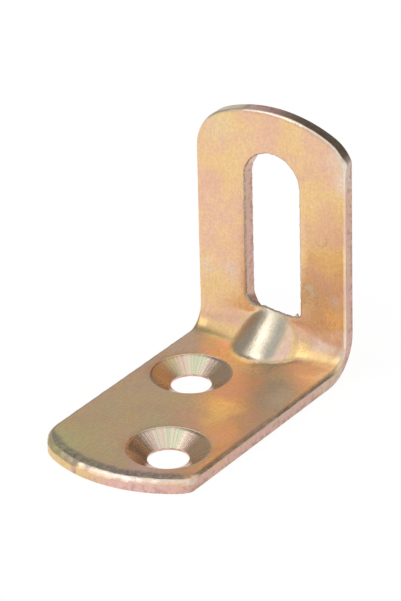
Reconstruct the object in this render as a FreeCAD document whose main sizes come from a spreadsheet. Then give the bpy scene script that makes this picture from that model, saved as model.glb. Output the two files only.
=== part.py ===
"""Pressed steel furniture corner bracket with two countersunk holes, a slot and a stiffening rib.

Frame: +Z up along the slotted leg, +Y towards its outer face, +X across the strip. The origin is
under the middle of the bracket, on the plane that the base stands on. Inside the body the zero of Y
is the outer face of the slotted leg; the body's placement then carries it to the bracket's own frame.
Lengths are in millimetres.
"""
import FreeCAD, Part
import math
import os

import Sketcher

Vector = FreeCAD.Vector

# Driving sizes: name, value, what it is
SIZES = (
    ("strip_width", 23.8, "across the strip, both legs"),
    ("sheet", 2.0, "sheet thickness"),
    ("base_length", 43.4, "outer face of the slotted leg to the free end of the base"),
    ("leg_height", 36.6, "underside of the base to the top of the slotted leg"),
    ("inner_bend", 2.9, "inside radius of the bend"),
    ("outer_bend", 6.1, "outside radius of the bend, larger than a plain bend because it is coined"),
    ("base_end_radius", 19.0, "segmental end of the base"),
    ("base_corner_left", 6.0, "corner of the base end on the -X side"),
    ("base_corner_right", 4.2, "corner of the base end on the +X side"),
    ("leg_end_radius", 20.8, "segmental end of the slotted leg"),
    ("leg_corner_left", 6.6, "corner of the leg end on the -X side"),
    ("leg_corner_right", 5.7, "corner of the leg end on the +X side"),
    ("corner_shear", 0.5, "how far inside the corner curves the +X side is sheared"),
    ("corner_break", 0.6, "small round that is left on the two sheared corners"),
    ("edge_roll", 0.5, "rounded edge that blanking leaves on the inner faces"),
    ("hole_bore", 5.6, "through diameter of a screw hole"),
    ("countersink", 11.2, "diameter of a countersink at the base's upper face"),
    ("hole_land", 0.35, "height of the plain bore under the countersink"),
    ("hole_stagger", 4.5, "each screw hole's distance from the strip's middle line"),
    ("inner_hole", 15.1, "outer face of the slotted leg to the nearer screw hole"),
    ("outer_hole", 33.6, "outer face of the slotted leg to the farther screw hole"),
    ("slot_width", 8.7, "width of the slot"),
    ("slot_offset", 0.3, "slot and rib middle line from the strip's middle line, towards +X"),
    ("slot_top", 30.5, "height of the slot's round top end"),
    ("slot_foot_front", 6.95, "height of the slot's lower edge on the inner face"),
    ("slot_foot_back", 5.0, "height of the slot's lower edge on the outer face"),
    ("slot_corner_front", 1.8, "lower corner radius of the slot on the inner face"),
    ("slot_corner_back", 3.9, "lower corner radius of the slot on the outer face"),
    ("rib_radius", 4.8, "radius of the rib's round back"),
    ("rib_crest", 6.5, "crest of the rib from the corner line where the outer faces would meet"),
    ("rib_wall", 1.6, "metal left between the rib's back and the dimple behind it"),
    ("rib_root", 0.1, "depth of the rib's ends under the inner faces"),
    ("rib_seat", 0.05, "depth of the rib's flat side under the inside of the bend"),
    ("rib_blend", 0.9, "concave blend round the foot of the rib"),
    ("cutter_margin", 4.0, "how far an end cutter reaches past the blank"),
)
BENT_ANGLE = 45.0  # the rib lies midway between the two legs

# How near a point lies to a face to count as on it, and how near two lengths are to count as equal
ON_FACE = 1e-4
EQUAL = 1e-6
SAMPLES = 5  # points that are tested along an edge

document = FreeCAD.newDocument("corner_bracket")


def make_sheet():
    """Fills the spreadsheet with the driving sizes, one row each, and names each value's cell."""
    sheet = document.addObject("Spreadsheet::Sheet", "sizes")
    for row, (alias, value, meaning) in enumerate(SIZES, start=1):
        sheet.set(f"A{row}", alias)
        sheet.set(f"B{row}", str(value))
        sheet.set(f"C{row}", meaning)
        sheet.setAlias(f"B{row}", alias)
    document.recompute()
    return sheet


sizes = make_sheet()


def size(alias):
    """Value of a driving size, for a sketch's starting shape."""
    return float(sizes.get(alias))


def origin_plane(body, role):
    """Origin plane of the body with the given role."""
    return next(item for item in body.Origin.OriginFeatures if item.Role == role)


def new_sketch(body, name, role):
    """Empty sketch on one of the body's origin planes."""
    sketch = body.newObject("Sketcher::SketchObject", name)
    sketch.AttachmentSupport = [(origin_plane(body, role), "")]
    sketch.MapMode = "FlatFace"
    return sketch


def bind(sketch, name, formula, kind, *where):
    """Adds one dimension to a sketch and binds it to a formula of the sheet's cells."""
    start = abs(float(sizes.evalExpression(formula.replace("sizes.", ""))))
    index = sketch.addConstraint(Sketcher.Constraint(kind, *where, start))
    sketch.renameConstraint(index, name)
    sketch.setExpression("Constraints." + name, formula)


def line(sketch, start, end):
    """Adds a straight line between two (x, y) points and returns its index."""
    return sketch.addGeometry(Part.LineSegment(Vector(*start, 0), Vector(*end, 0)), False)


def arc(sketch, centre, radius, first, last):
    """Adds a counter-clockwise arc between two angles in radians and returns its index."""
    circle = Part.Circle(Vector(*centre, 0), Vector(0, 0, 1), radius)
    return sketch.addGeometry(Part.ArcOfCircle(circle, first, last), False)


def tie(sketch, kind, *where):
    """Adds a constraint without a value."""
    sketch.addConstraint(Sketcher.Constraint(kind, *where))


def make_strip(body):
    """The bent strip: an L section with its inside and outside bend radii, as wide as the strip."""
    length, height, sheet = size("base_length"), size("leg_height"), size("sheet")
    inside, outside = size("inner_bend"), size("outer_bend")
    bend_line = sheet + inside
    sketch = new_sketch(body, "section", "YZ_Plane")
    back = line(sketch, (0, height), (0, outside))
    outer = arc(sketch, (-outside, outside), outside, 1.5 * math.pi, 2 * math.pi)
    under = line(sketch, (-outside, 0), (-length, 0))
    free_end = line(sketch, (-length, 0), (-length, sheet))
    upper = line(sketch, (-length, sheet), (-bend_line, sheet))
    inner = arc(sketch, (-bend_line, bend_line), inside, 1.5 * math.pi, 2 * math.pi)
    front = line(sketch, (-sheet, bend_line), (-sheet, height))
    top = line(sketch, (-sheet, height), (0, height))
    tie(sketch, "Tangent", back, 2, outer, 2)
    tie(sketch, "Tangent", outer, 1, under, 1)
    tie(sketch, "Coincident", under, 2, free_end, 1)
    tie(sketch, "Coincident", free_end, 2, upper, 1)
    tie(sketch, "Tangent", upper, 2, inner, 1)
    tie(sketch, "Tangent", inner, 2, front, 1)
    tie(sketch, "Coincident", front, 2, top, 1)
    tie(sketch, "Coincident", top, 2, back, 1)
    for upright in (back, free_end, front):
        tie(sketch, "Vertical", upright)
    for level in (under, upper, top):
        tie(sketch, "Horizontal", level)
    tie(sketch, "PointOnObject", back, 1, -2)
    tie(sketch, "PointOnObject", under, 2, -1)
    bind(sketch, "length", "sizes.base_length", "DistanceX", under, 2, -1, 1)
    bind(sketch, "height", "sizes.leg_height", "DistanceY", -1, 1, back, 1)
    bind(sketch, "base_sheet", "sizes.sheet", "DistanceY", free_end, 1, free_end, 2)
    bind(sketch, "leg_sheet", "sizes.sheet", "DistanceX", top, 1, top, 2)
    bind(sketch, "outside", "sizes.outer_bend", "Radius", outer)
    bind(sketch, "inside", "sizes.inner_bend", "Radius", inner)
    pad = body.newObject("PartDesign::Pad", "strip")
    pad.Profile = sketch
    pad.Midplane = True
    pad.setExpression("Length", "sizes.strip_width")
    return pad


def rounded_end(body, name, role, side, reach, end_radius, left_corner, right_corner):
    """Trims one leg's end to an arc with a rounded corner on each side.

    The cutter is everything outside the rounded end. side is +1 where the leg points along the
    sketch's Y axis and -1 where it points against it. The curve of the right corner, on the +X side,
    runs past the strip, whose side shears it off. The other arguments name the sizes.
    """
    half, tip, big = size("strip_width") / 2, size(reach), size(end_radius)
    margin = size("cutter_margin")
    turn = 0.0 if side > 0 else math.pi
    corners = [corner_shape(half, tip, big, size(left_corner), 0.0),
               corner_shape(half, tip, big, size(right_corner), size("corner_shear"))]
    if side > 0:
        corners.reverse()
    one_shape, two_shape = corners
    sketch = new_sketch(body, name + "_outline", role)
    one = arc(sketch, (side * one_shape["x"], side * one_shape["y"]), one_shape["radius"],
              turn + one_shape["start"], turn + one_shape["meet"])
    end = arc(sketch, (0, side * (tip - big)), big,
              turn + one_shape["meet"], turn + math.pi - two_shape["meet"])
    two = arc(sketch, (-side * two_shape["x"], side * two_shape["y"]), two_shape["radius"],
              turn + math.pi - two_shape["meet"], turn + math.pi - two_shape["start"])
    rim_points = [(-side * half, side * two_shape["foot"]),
                  (-side * (half + margin), side * two_shape["foot"]),
                  (-side * (half + margin), side * (tip + margin)),
                  (side * (half + margin), side * (tip + margin)),
                  (side * (half + margin), side * one_shape["foot"]),
                  (side * half, side * one_shape["foot"])]
    rim = [line(sketch, before, after) for before, after in zip(rim_points, rim_points[1:])]
    tie(sketch, "Tangent", one, 2, end, 1)
    tie(sketch, "Tangent", end, 2, two, 1)
    tie(sketch, "Coincident", two, 2, rim[0], 1)
    for before, after in zip(rim, rim[1:]):
        tie(sketch, "Coincident", before, 2, after, 1)
    tie(sketch, "Coincident", rim[-1], 2, one, 1)
    for level in (rim[0], rim[2], rim[4]):
        tie(sketch, "Horizontal", level)
    for upright in (rim[1], rim[3]):
        tie(sketch, "Vertical", upright)
    tie(sketch, "PointOnObject", end, 3, -2)
    left, left_foot, right = (one, 1, two) if side < 0 else (two, 2, one)
    tie(sketch, "Horizontal", left, 3, left, left_foot)
    bind(sketch, "right_centre", f"sizes.strip_width / 2 + sizes.corner_shear - sizes.{right_corner}",
         "DistanceX", -1, 1, right, 3)
    bind(sketch, "left_corner", "sizes." + left_corner, "Radius", left)
    bind(sketch, "right_corner", "sizes." + right_corner, "Radius", right)
    bind(sketch, "end_radius", "sizes." + end_radius, "Radius", end)
    centre_ends = (-1, 1, end, 3) if side > 0 else (end, 3, -1, 1)
    bind(sketch, "end_centre", f"sizes.{reach} - sizes.{end_radius}", "DistanceY", *centre_ends)
    side_ends = [(-1, 1, one, 1), (two, 2, -1, 1)] if side > 0 else [(one, 1, -1, 1), (-1, 1, two, 2)]
    for label, where in zip(("first_side", "last_side"), side_ends):
        bind(sketch, label, "sizes.strip_width / 2", "DistanceX", *where)
    for label, edge in (("first_margin", rim[4]), ("last_margin", rim[0])):
        margin_ends = (edge, 1, edge, 2) if side < 0 else (edge, 2, edge, 1)
        bind(sketch, label, "sizes.cutter_margin", "DistanceX", *margin_ends)
    far_ends = (-1, 1, rim[2], 1) if side > 0 else (rim[2], 1, -1, 1)
    bind(sketch, "far_side", f"sizes.{reach} + sizes.cutter_margin", "DistanceY", *far_ends)
    pocket = body.newObject("PartDesign::Pocket", name)
    pocket.Profile = sketch
    pocket.Type = "ThroughAll"
    pocket.Midplane = True
    return pocket


def corner_shape(half, tip, big, radius, shear):
    """Starting shape of a corner arc on the +X side of an end that points along +Y.

    The arc touches the end's big arc at the angle meet and reaches the strip's side at the angle
    start, at the height foot. shear is how far its curve would run past the side.
    """
    centre_x = half + shear - radius
    centre_y = tip - big + math.sqrt((big - radius) ** 2 - centre_x ** 2)
    start = math.acos((radius - shear) / radius)
    return {"x": centre_x, "y": centre_y, "radius": radius, "start": start,
            "meet": math.acos(centre_x / (big - radius)), "foot": centre_y + radius * math.sin(start)}


def on_inner_face(point):
    """Whether a point lies on the base's upper face, the leg's inner face or the inside bend."""
    sheet, centre = size("sheet"), size("sheet") + size("inner_bend")
    if point.y < -centre:
        return abs(point.z - sheet) < ON_FACE
    if point.z > centre:
        return abs(point.y + sheet) < ON_FACE
    return abs(math.hypot(point.y + centre, point.z - centre) - size("inner_bend")) < ON_FACE


def edge_points(edge):
    """Points spread evenly along an edge, its ends left out."""
    first, last = edge.FirstParameter, edge.LastParameter
    return [edge.valueAt(first + (last - first) * (k + 0.5) / SAMPLES) for k in range(SAMPLES)]


def edge_names(feature, wanted):
    """Names of the feature's edges whose sampled points all pass a test."""
    edges = feature.Shape.Edges
    return [f"Edge{k + 1}" for k, edge in enumerate(edges) if wanted(edge)]


def blend(body, name, base, wanted, radius):
    """Rounds the edges of a feature that pass a test."""
    document.recompute()
    names = edge_names(base, wanted)
    if not names:
        raise RuntimeError(name + " found no edge to round")
    fillet = body.newObject("PartDesign::Fillet", name)
    fillet.Base = (base, names)
    fillet.setExpression("Radius", radius)
    return fillet


def is_outline(edge):
    """Whether an edge belongs to the strip's outline on its inner faces, bend seams left out."""
    points = edge_points(edge)
    along = points[-1] - points[0]
    return all(on_inner_face(point) for point in points) and math.hypot(along.y, along.z) > EQUAL


def is_sheared_corner(edge):
    """Whether an edge is a sheared corner, where an end's curve meets the strip's +X side."""
    points = edge_points(edge)
    on_side = all(abs(point.x - size("strip_width") / 2) < EQUAL for point in points)
    return on_side and abs(edge.Length - size("sheet")) < EQUAL


def rib_plane_sketch(body, name):
    """Sketch square to the rib, through the corner line; its -Y axis points into the bend."""
    sketch = new_sketch(body, name, "XY_Plane")
    tilt = FreeCAD.Rotation(Vector(1, 0, 0), -BENT_ANGLE)
    sketch.AttachmentOffset = FreeCAD.Placement(Vector(0, 0, 0), tilt)
    return sketch


def make_rib(body):
    """The rib's back: a round-topped bar across the bend whose ends die into the two inner faces."""
    radius, crest, middle = size("rib_radius"), size("rib_crest"), size("slot_offset")
    # The rib's flat side lies just under the inside of the bend, measured from the corner line
    depth = "(sizes.sheet + sizes.inner_bend) * sqrt(2) - sizes.inner_bend - sizes.rib_seat"
    chord = float(sizes.evalExpression(depth.replace("sizes.", "")))
    half = math.sqrt(radius ** 2 - (chord - crest + radius) ** 2)
    sketch = rib_plane_sketch(body, "rib_section")
    centre_y = radius - crest
    lean = math.atan2(half, chord - crest + radius)
    back = arc(sketch, (middle, centre_y), radius, 1.5 * math.pi - lean, 1.5 * math.pi + lean)
    base = line(sketch, (middle + half, -chord), (middle - half, -chord))
    tie(sketch, "Coincident", back, 2, base, 1)
    tie(sketch, "Coincident", base, 2, back, 1)
    tie(sketch, "Horizontal", base)
    bind(sketch, "radius", "sizes.rib_radius", "Radius", back)
    bind(sketch, "middle", "sizes.slot_offset", "DistanceX", -1, 1, back, 3)
    bind(sketch, "centre", "sizes.rib_crest - sizes.rib_radius", "DistanceY", back, 3, -1, 1)
    bind(sketch, "chord", depth, "DistanceY", base, 1, -1, 1)
    pad = body.newObject("PartDesign::Pad", "rib")
    pad.Profile = sketch
    pad.Midplane = True
    pad.setExpression("Length", "2 * (sizes.rib_crest - (sizes.sheet - sizes.rib_root) * sqrt(2))")
    return pad


def on_rib(point):
    """Whether a point lies on the rib's round back."""
    depth = (point.z - point.y) * math.sqrt(0.5) - size("rib_crest") + size("rib_radius")
    across = point.x - size("slot_offset")
    return abs(math.hypot(across, depth) - size("rib_radius")) < ON_FACE


def is_rib_foot(edge):
    """Whether an edge is where the rib's back meets an inner face."""
    return all(on_inner_face(point) and on_rib(point) for point in edge_points(edge))


def make_dimple(body):
    """The dimple that the punch leaves outside the bend, round like the rib and concentric with it."""
    sketch = rib_plane_sketch(body, "dimple_section")
    centre_y = size("rib_radius") - size("rib_crest")
    circle = Part.Circle(Vector(size("slot_offset"), centre_y, 0), Vector(0, 0, 1),
                         size("rib_radius") - size("rib_wall"))
    ring = sketch.addGeometry(circle, False)
    bind(sketch, "radius", "sizes.rib_radius - sizes.rib_wall", "Radius", ring)
    bind(sketch, "middle", "sizes.slot_offset", "DistanceX", -1, 1, ring, 3)
    bind(sketch, "centre", "sizes.rib_crest - sizes.rib_radius", "DistanceY", ring, 3, -1, 1)
    pocket = body.newObject("PartDesign::Pocket", "dimple")
    pocket.Profile = sketch
    pocket.Type = "ThroughAll"
    pocket.Midplane = True
    return pocket


def slot_outline(body, name, foot, corner, depth):
    """Closed slot outline on a plane parallel to the leg: round top, straight sides, rounded foot."""
    middle, half, top = size("slot_offset"), size("slot_width") / 2, size("slot_top")
    low, small = size(foot), size(corner)
    sketch = new_sketch(body, name, "XZ_Plane")
    if depth:
        sketch.setExpression(".AttachmentOffset.Base.z", depth)
    crown = arc(sketch, (middle, top - half), half, 0, math.pi)
    left = line(sketch, (middle - half, top - half), (middle - half, low + small))
    left_corner = arc(sketch, (middle - half + small, low + small), small, math.pi, 1.5 * math.pi)
    bottom = line(sketch, (middle - half + small, low), (middle + half - small, low))
    right_corner = arc(sketch, (middle + half - small, low + small), small, 1.5 * math.pi, 2 * math.pi)
    right = line(sketch, (middle + half, low + small), (middle + half, top - half))
    tie(sketch, "Tangent", crown, 2, left, 1)
    tie(sketch, "Tangent", left, 2, left_corner, 1)
    tie(sketch, "Tangent", left_corner, 2, bottom, 1)
    tie(sketch, "Tangent", bottom, 2, right_corner, 1)
    tie(sketch, "Tangent", right_corner, 2, right, 1)
    tie(sketch, "Tangent", right, 2, crown, 1)
    tie(sketch, "Vertical", left)
    tie(sketch, "Horizontal", bottom)
    tie(sketch, "Equal", left_corner, right_corner)
    bind(sketch, "half_width", "sizes.slot_width / 2", "Radius", crown)
    bind(sketch, "corner", "sizes." + corner, "Radius", left_corner)
    bind(sketch, "middle", "sizes.slot_offset", "DistanceX", -1, 1, crown, 3)
    bind(sketch, "crown_height", "sizes.slot_top - sizes.slot_width / 2", "DistanceY", -1, 1, crown, 3)
    bind(sketch, "foot", "sizes." + foot, "DistanceY", -1, 1, bottom, 1)
    return sketch


def make_slot(body):
    """The slot: its foot slopes down towards the outer face, as the rib's punch leaves it.

    The mouth keeps the slot open in front of the inner face, where a taller rib would reach it.
    """
    front = slot_outline(body, "slot_front", "slot_foot_front", "slot_corner_front", "sizes.sheet")
    back = slot_outline(body, "slot_back", "slot_foot_back", "slot_corner_back", None)
    document.recompute()
    through = body.newObject("PartDesign::SubtractiveLoft", "slot")
    through.Profile = front
    through.Sections = [back]
    through.Ruled = True
    cut(through)
    mouth = body.newObject("PartDesign::Pocket", "slot_mouth")
    mouth.Profile = front
    mouth.Reversed = True
    mouth.setExpression("Length", "sizes.cutter_margin")


def make_holes(body):
    """The two screw holes, countersunk from the base's upper face, on opposite sides of the middle."""
    sketch = new_sketch(body, "hole_places", "XY_Plane")
    sketch.setExpression(".AttachmentOffset.Base.z", "sizes.sheet")
    stagger, bore = size("hole_stagger"), size("hole_bore")
    for label, side, place in (("inner", -1, "inner_hole"), ("outer", 1, "outer_hole")):
        centre = Vector(side * stagger, -size(place), 0)
        ring = sketch.addGeometry(Part.Circle(centre, Vector(0, 0, 1), bore / 2), False)
        bind(sketch, label + "_bore", "sizes.hole_bore / 2", "Radius", ring)
        ends = (ring, 3, -1, 1) if side < 0 else (-1, 1, ring, 3)
        bind(sketch, label + "_across", "sizes.hole_stagger", "DistanceX", *ends)
        bind(sketch, label + "_along", "sizes." + place, "DistanceY", ring, 3, -1, 1)
    document.recompute()
    holes = body.newObject("PartDesign::Hole", "screw_holes")
    holes.Profile = sketch
    holes.DepthType = "ThroughAll"
    holes.Threaded = False
    holes.HoleCutType = "Countersink"
    holes.HoleCutCustomValues = True
    holes.setExpression("Diameter", "sizes.hole_bore")
    holes.setExpression("HoleCutDiameter", "sizes.countersink")
    cone = "2 * atan((sizes.countersink - sizes.hole_bore) / 2 / (sizes.sheet - sizes.hole_land))"
    holes.setExpression("HoleCutCountersinkAngle", cone)
    return holes


def make_bracket():
    """Builds the bracket step by step, checking that each cut takes metal away."""
    body = document.addObject("PartDesign::Body", "corner_bracket")
    body.Label = "corner_bracket"
    body.setExpression(".Placement.Base.y", "sizes.base_length / 2")
    make_strip(body)
    cut(rounded_end(body, "base_end", "XY_Plane", -1, "base_length", "base_end_radius",
                    "base_corner_left", "base_corner_right"))
    leg_end = cut(rounded_end(body, "leg_end", "XZ_Plane", 1, "leg_height", "leg_end_radius",
                              "leg_corner_left", "leg_corner_right"))
    corners = blend(body, "corner_break", leg_end, is_sheared_corner, "sizes.corner_break")
    blend(body, "edge_roll", corners, is_outline, "sizes.edge_roll")
    rib = make_rib(body)
    blend(body, "rib_foot", rib, is_rib_foot, "sizes.rib_blend")
    cut(make_dimple(body))
    make_slot(body)
    cut(make_holes(body))
    return body


def cut(feature):
    """Recomputes after a cut and stops if it took nothing away."""
    document.recompute()
    if not feature.Shape.Volume < feature.BaseFeature.Shape.Volume:
        raise RuntimeError(feature.Name + " cuts nothing")
    return feature


def check(items):
    """Stops if any object failed or any part's shape is empty or invalid."""
    for item in document.Objects:
        if {"Invalid", "Error"} & set(item.State):
            raise RuntimeError(item.Name + " failed: " + ", ".join(item.State))
    for item in items:
        if item.Shape.isNull() or not item.Shape.isValid() or len(item.Shape.Solids) != 1:
            raise RuntimeError(item.Label + " is not one valid solid")


parts = [make_bracket()]
document.recompute()
check(parts)
os.makedirs("parts", exist_ok=True)
for part in parts:
    part.Shape.exportStep(os.path.join("parts", part.Label + ".step"))
    box = part.Shape.optimalBoundingBox(False)
    print(part.Label, "volume", round(part.Shape.Volume, 2), "mm3, box",
          [round(v, 3) for v in (box.XMin, box.YMin, box.ZMin, box.XMax, box.YMax, box.ZMax)])
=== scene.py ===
"""Furniture corner bracket of pressed sheet steel, zinc plated and yellow passivated, in a studio.

The bracket is laid out flat as a blank in millimetres, with its rolled edges, countersinks and slot,
and a node tree then folds the blank, presses the rib across the bend and brings it to metres.
On the blank X runs across the strip, Y along it from the base's free end up the slotted leg, and Z
is minus the depth under the inner faces.
"""
import logging
import math
from dataclasses import dataclass, field, fields
from enum import Enum

import bpy
import numpy as np
from mathutils import Matrix, Vector
from mathutils.geometry import delaunay_2d_cdt


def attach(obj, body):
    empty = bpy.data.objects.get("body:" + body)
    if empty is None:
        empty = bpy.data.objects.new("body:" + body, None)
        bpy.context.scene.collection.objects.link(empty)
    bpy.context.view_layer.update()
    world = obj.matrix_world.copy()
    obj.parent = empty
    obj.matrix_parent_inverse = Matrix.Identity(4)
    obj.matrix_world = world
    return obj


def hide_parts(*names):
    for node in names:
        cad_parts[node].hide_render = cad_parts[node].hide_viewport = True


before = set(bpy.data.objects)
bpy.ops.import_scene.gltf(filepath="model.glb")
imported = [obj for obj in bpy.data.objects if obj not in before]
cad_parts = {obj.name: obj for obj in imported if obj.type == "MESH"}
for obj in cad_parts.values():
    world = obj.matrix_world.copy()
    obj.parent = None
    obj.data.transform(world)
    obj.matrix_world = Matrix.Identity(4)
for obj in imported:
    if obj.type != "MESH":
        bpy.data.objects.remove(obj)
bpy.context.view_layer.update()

log = logging.getLogger("corner_bracket")
MILLIMETRE = 0.001
BODY = "root"
NODE = "corner_bracket"

SHEET = 2.0
INNER_BEND = 2.9
BACK_OF_LEG = 21.7
ARC_POINTS = 60
MERGE_DISTANCE = 1e-7
CHUNK = 2000
RELIEF_STEP = 0.1 * MILLIMETRE

Operand = "Field | float"
Colour = tuple[float, float, float]
Place = tuple[float, float, float]
Span = tuple[float, float]
Limit = tuple[str, float, float]
Tree = bpy.types.NodeTree
Socket = bpy.types.NodeSocket
Tint = Colour | Socket


class Field:
    """A value in a node tree that changes over the piece. Arithmetic on it adds Math nodes."""

    def __init__(self, tree: Tree, socket: Socket) -> None:
        """Wraps an output socket of a tree."""
        self.tree = tree
        self.socket = socket

    def step(self, operation: str, *others: Operand, clamp: bool = False) -> "Field":
        """Adds one Math node.

        Args:
            operation: Name of the Math node's operation.
            others: The second and third operands.
            clamp: Whether the result is held between 0 and 1.

        Returns:
            The node's result.
        """
        node = self.tree.nodes.new("ShaderNodeMath")
        node.operation = operation
        node.use_clamp = clamp
        for socket, value in zip(node.inputs, (self, *others)):
            feed(self.tree, socket, value)
        return Field(self.tree, node.outputs[0])

    def eased(self, span: Span, to: Span = (0.0, 1.0)) -> "Field":
        """Maps the value smoothly from one range to another, held at both ends.

        Args:
            span: Start and end of its range, in either order.
            to: Result at the start and at the end.

        Returns:
            The mapped value.
        """
        node = self.tree.nodes.new("ShaderNodeMapRange")
        node.interpolation_type = "SMOOTHSTEP"
        for socket, value in zip(node.inputs, (self, *span, *to)):
            feed(self.tree, socket, value)
        return Field(self.tree, node.outputs[0])

    def __add__(self, other: Operand) -> "Field":
        """Sum."""
        return self.step("ADD", other)

    def __sub__(self, other: Operand) -> "Field":
        """Difference."""
        return self.step("SUBTRACT", other)

    def __rsub__(self, other: float) -> "Field":
        """Difference from a number."""
        return -self + other

    def __mul__(self, other: Operand) -> "Field":
        """Product."""
        return self.step("MULTIPLY", other)

    def __truediv__(self, other: Operand) -> "Field":
        """Quotient."""
        return self.step("DIVIDE", other)

    def __neg__(self) -> "Field":
        """Negative."""
        return self.step("MULTIPLY", -1.0)

    def least(self, other: Operand) -> "Field":
        """The smaller of two values."""
        return self.step("MINIMUM", other)

    def most(self, other: Operand) -> "Field":
        """The larger of two values."""
        return self.step("MAXIMUM", other)

    def gap(self, middle: float) -> "Field":
        """Distance from a number."""
        return (self - middle).step("ABSOLUTE")

    def root(self) -> "Field":
        """Square root."""
        return self.step("SQRT")

    def sine(self) -> "Field":
        """Sine."""
        return self.step("SINE")

    def cosine(self) -> "Field":
        """Cosine."""
        return self.step("COSINE")

    def arcsine(self) -> "Field":
        """Arcsine."""
        return self.step("ARCSINE")


def feed(tree: Tree, socket: Socket, value: object) -> None:
    """Links or sets an input.

    Args:
        tree: The tree.
        socket: The input.
        value: A field or socket to link, or a value to set. A colour gets its full alpha.
    """
    if isinstance(value, Field):
        value = value.socket
    if isinstance(value, Socket):
        tree.links.new(value, socket)
    elif socket.type == "RGBA":
        socket.default_value = (*value, 1.0)
    else:
        socket.default_value = value


def split_xyz(tree: Tree, place: Socket) -> tuple[Field, ...]:
    """The three parts of a vector.

    Args:
        tree: The tree.
        place: The vector.

    Returns:
        Its X, Y and Z.
    """
    node = tree.nodes.new("ShaderNodeSeparateXYZ")
    tree.links.new(place, node.inputs[0])
    return tuple(Field(tree, socket) for socket in node.outputs)


def ramp(low: float, high: float, values: np.ndarray) -> np.ndarray:
    """Smooth step of some values from 0 at low to 1 at high."""
    part = np.clip((np.asarray(values) - low) / (high - low), 0.0, 1.0)
    return part * part * (3.0 - 2.0 * part)


def ripple(along: np.ndarray, total: float, seed: int, waves: tuple[int, ...]) -> np.ndarray:
    """Smooth unevenness round a closed curve, within about -1 to 1.

    Args:
        along: Distance along the curve of each point.
        total: The curve's length.
        seed: Fixes the phases.
        waves: How many times each wave repeats round the curve.

    Returns:
        The unevenness at each point.
    """
    phases = np.random.default_rng(seed).uniform(0, 2 * math.pi, len(waves))
    rows = [np.sin(2 * math.pi * count * along / total + phase) for count, phase in zip(waves, phases)]
    return np.sum(rows, axis=0) / math.sqrt(len(waves))


def arc_points(centre: tuple[float, float], radius: float, first: float, last: float,
               count: int) -> np.ndarray:
    """Points on an arc between two angles in radians, one row each."""
    angles = np.linspace(first, last, count)
    return np.stack([centre[0] + radius * np.cos(angles), centre[1] + radius * np.sin(angles)], 1)


class Finish(Enum):
    """Which finish a face of the bracket wears."""

    FACE = 0
    SHEARED = 1
    COUNTERSUNK = 2

    @property
    def title(self) -> str:
        """Name of the press tool's socket for this finish."""
        return self.name.title() + " Finish"


class Edge(Enum):
    """Which way a closed curve bounds the metal."""

    OUTLINE = 1
    OPENING = -1


@dataclass
class Loop:
    """A closed curve on the blank, with the metal on its left."""

    points: np.ndarray
    edge: Edge

    def __post_init__(self) -> None:
        """Turns the curve so that the metal is on its left."""
        x, y = self.points.T
        area = 0.5 * float(np.sum(x * np.roll(y, -1) - np.roll(x, -1) * y))
        if (area > 0) != (self.edge is Edge.OUTLINE):
            self.points = self.points[::-1].copy()

    @property
    def along(self) -> np.ndarray:
        """Distance along the curve of each point."""
        steps = np.linalg.norm(np.roll(self.points, -1, 0) - self.points, axis=1)
        return np.concatenate([[0.0], np.cumsum(steps)[:-1]])

    @property
    def length(self) -> float:
        """The curve's whole length."""
        return float(np.linalg.norm(np.roll(self.points, -1, 0) - self.points, axis=1).sum())

    def spread(self, reach: float) -> np.ndarray:
        """The points blurred along the curve.

        Args:
            reach: Standard deviation of the blur, along the curve.

        Returns:
            The blurred points, one for each point.
        """
        pitch = self.length / len(self.points)
        sigma = reach / pitch
        span = int(3 * sigma) + 1
        offsets = np.arange(-span, span + 1)
        weights = np.exp(-0.5 * (offsets / sigma) ** 2)
        weights /= weights.sum()
        return sum(weight * np.roll(self.points, -int(offset), 0)
                   for weight, offset in zip(weights, offsets))

    def resampled(self, count: int) -> "Loop":
        """The same curve with evenly spaced points.

        Args:
            count: Number of points.

        Returns:
            The new loop.
        """
        closed = np.vstack([self.points, self.points[:1]])
        run = np.concatenate([[0.0], np.cumsum(np.linalg.norm(np.diff(closed, axis=0), axis=1))])
        wanted = np.linspace(0, run[-1], count, endpoint=False)
        points = np.stack([np.interp(wanted, run, closed[:, axis]) for axis in (0, 1)], 1)
        return Loop(points, self.edge)

    @staticmethod
    def leftward(points: np.ndarray) -> np.ndarray:
        """Unit vectors to the left of a closed curve, which is into the metal.

        Args:
            points: The curve.

        Returns:
            One vector for each point.
        """
        way = np.roll(points, -1, 0) - np.roll(points, 1, 0)
        way /= np.linalg.norm(way, axis=1, keepdims=True)
        return np.stack([-way[:, 1], way[:, 0]], 1)

    def inward(self, reach: float) -> np.ndarray:
        """Unit vectors into the metal, with each corner's turn spread over a length."""
        return self.leftward(self.spread(reach) if reach > 0 else self.points)


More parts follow.
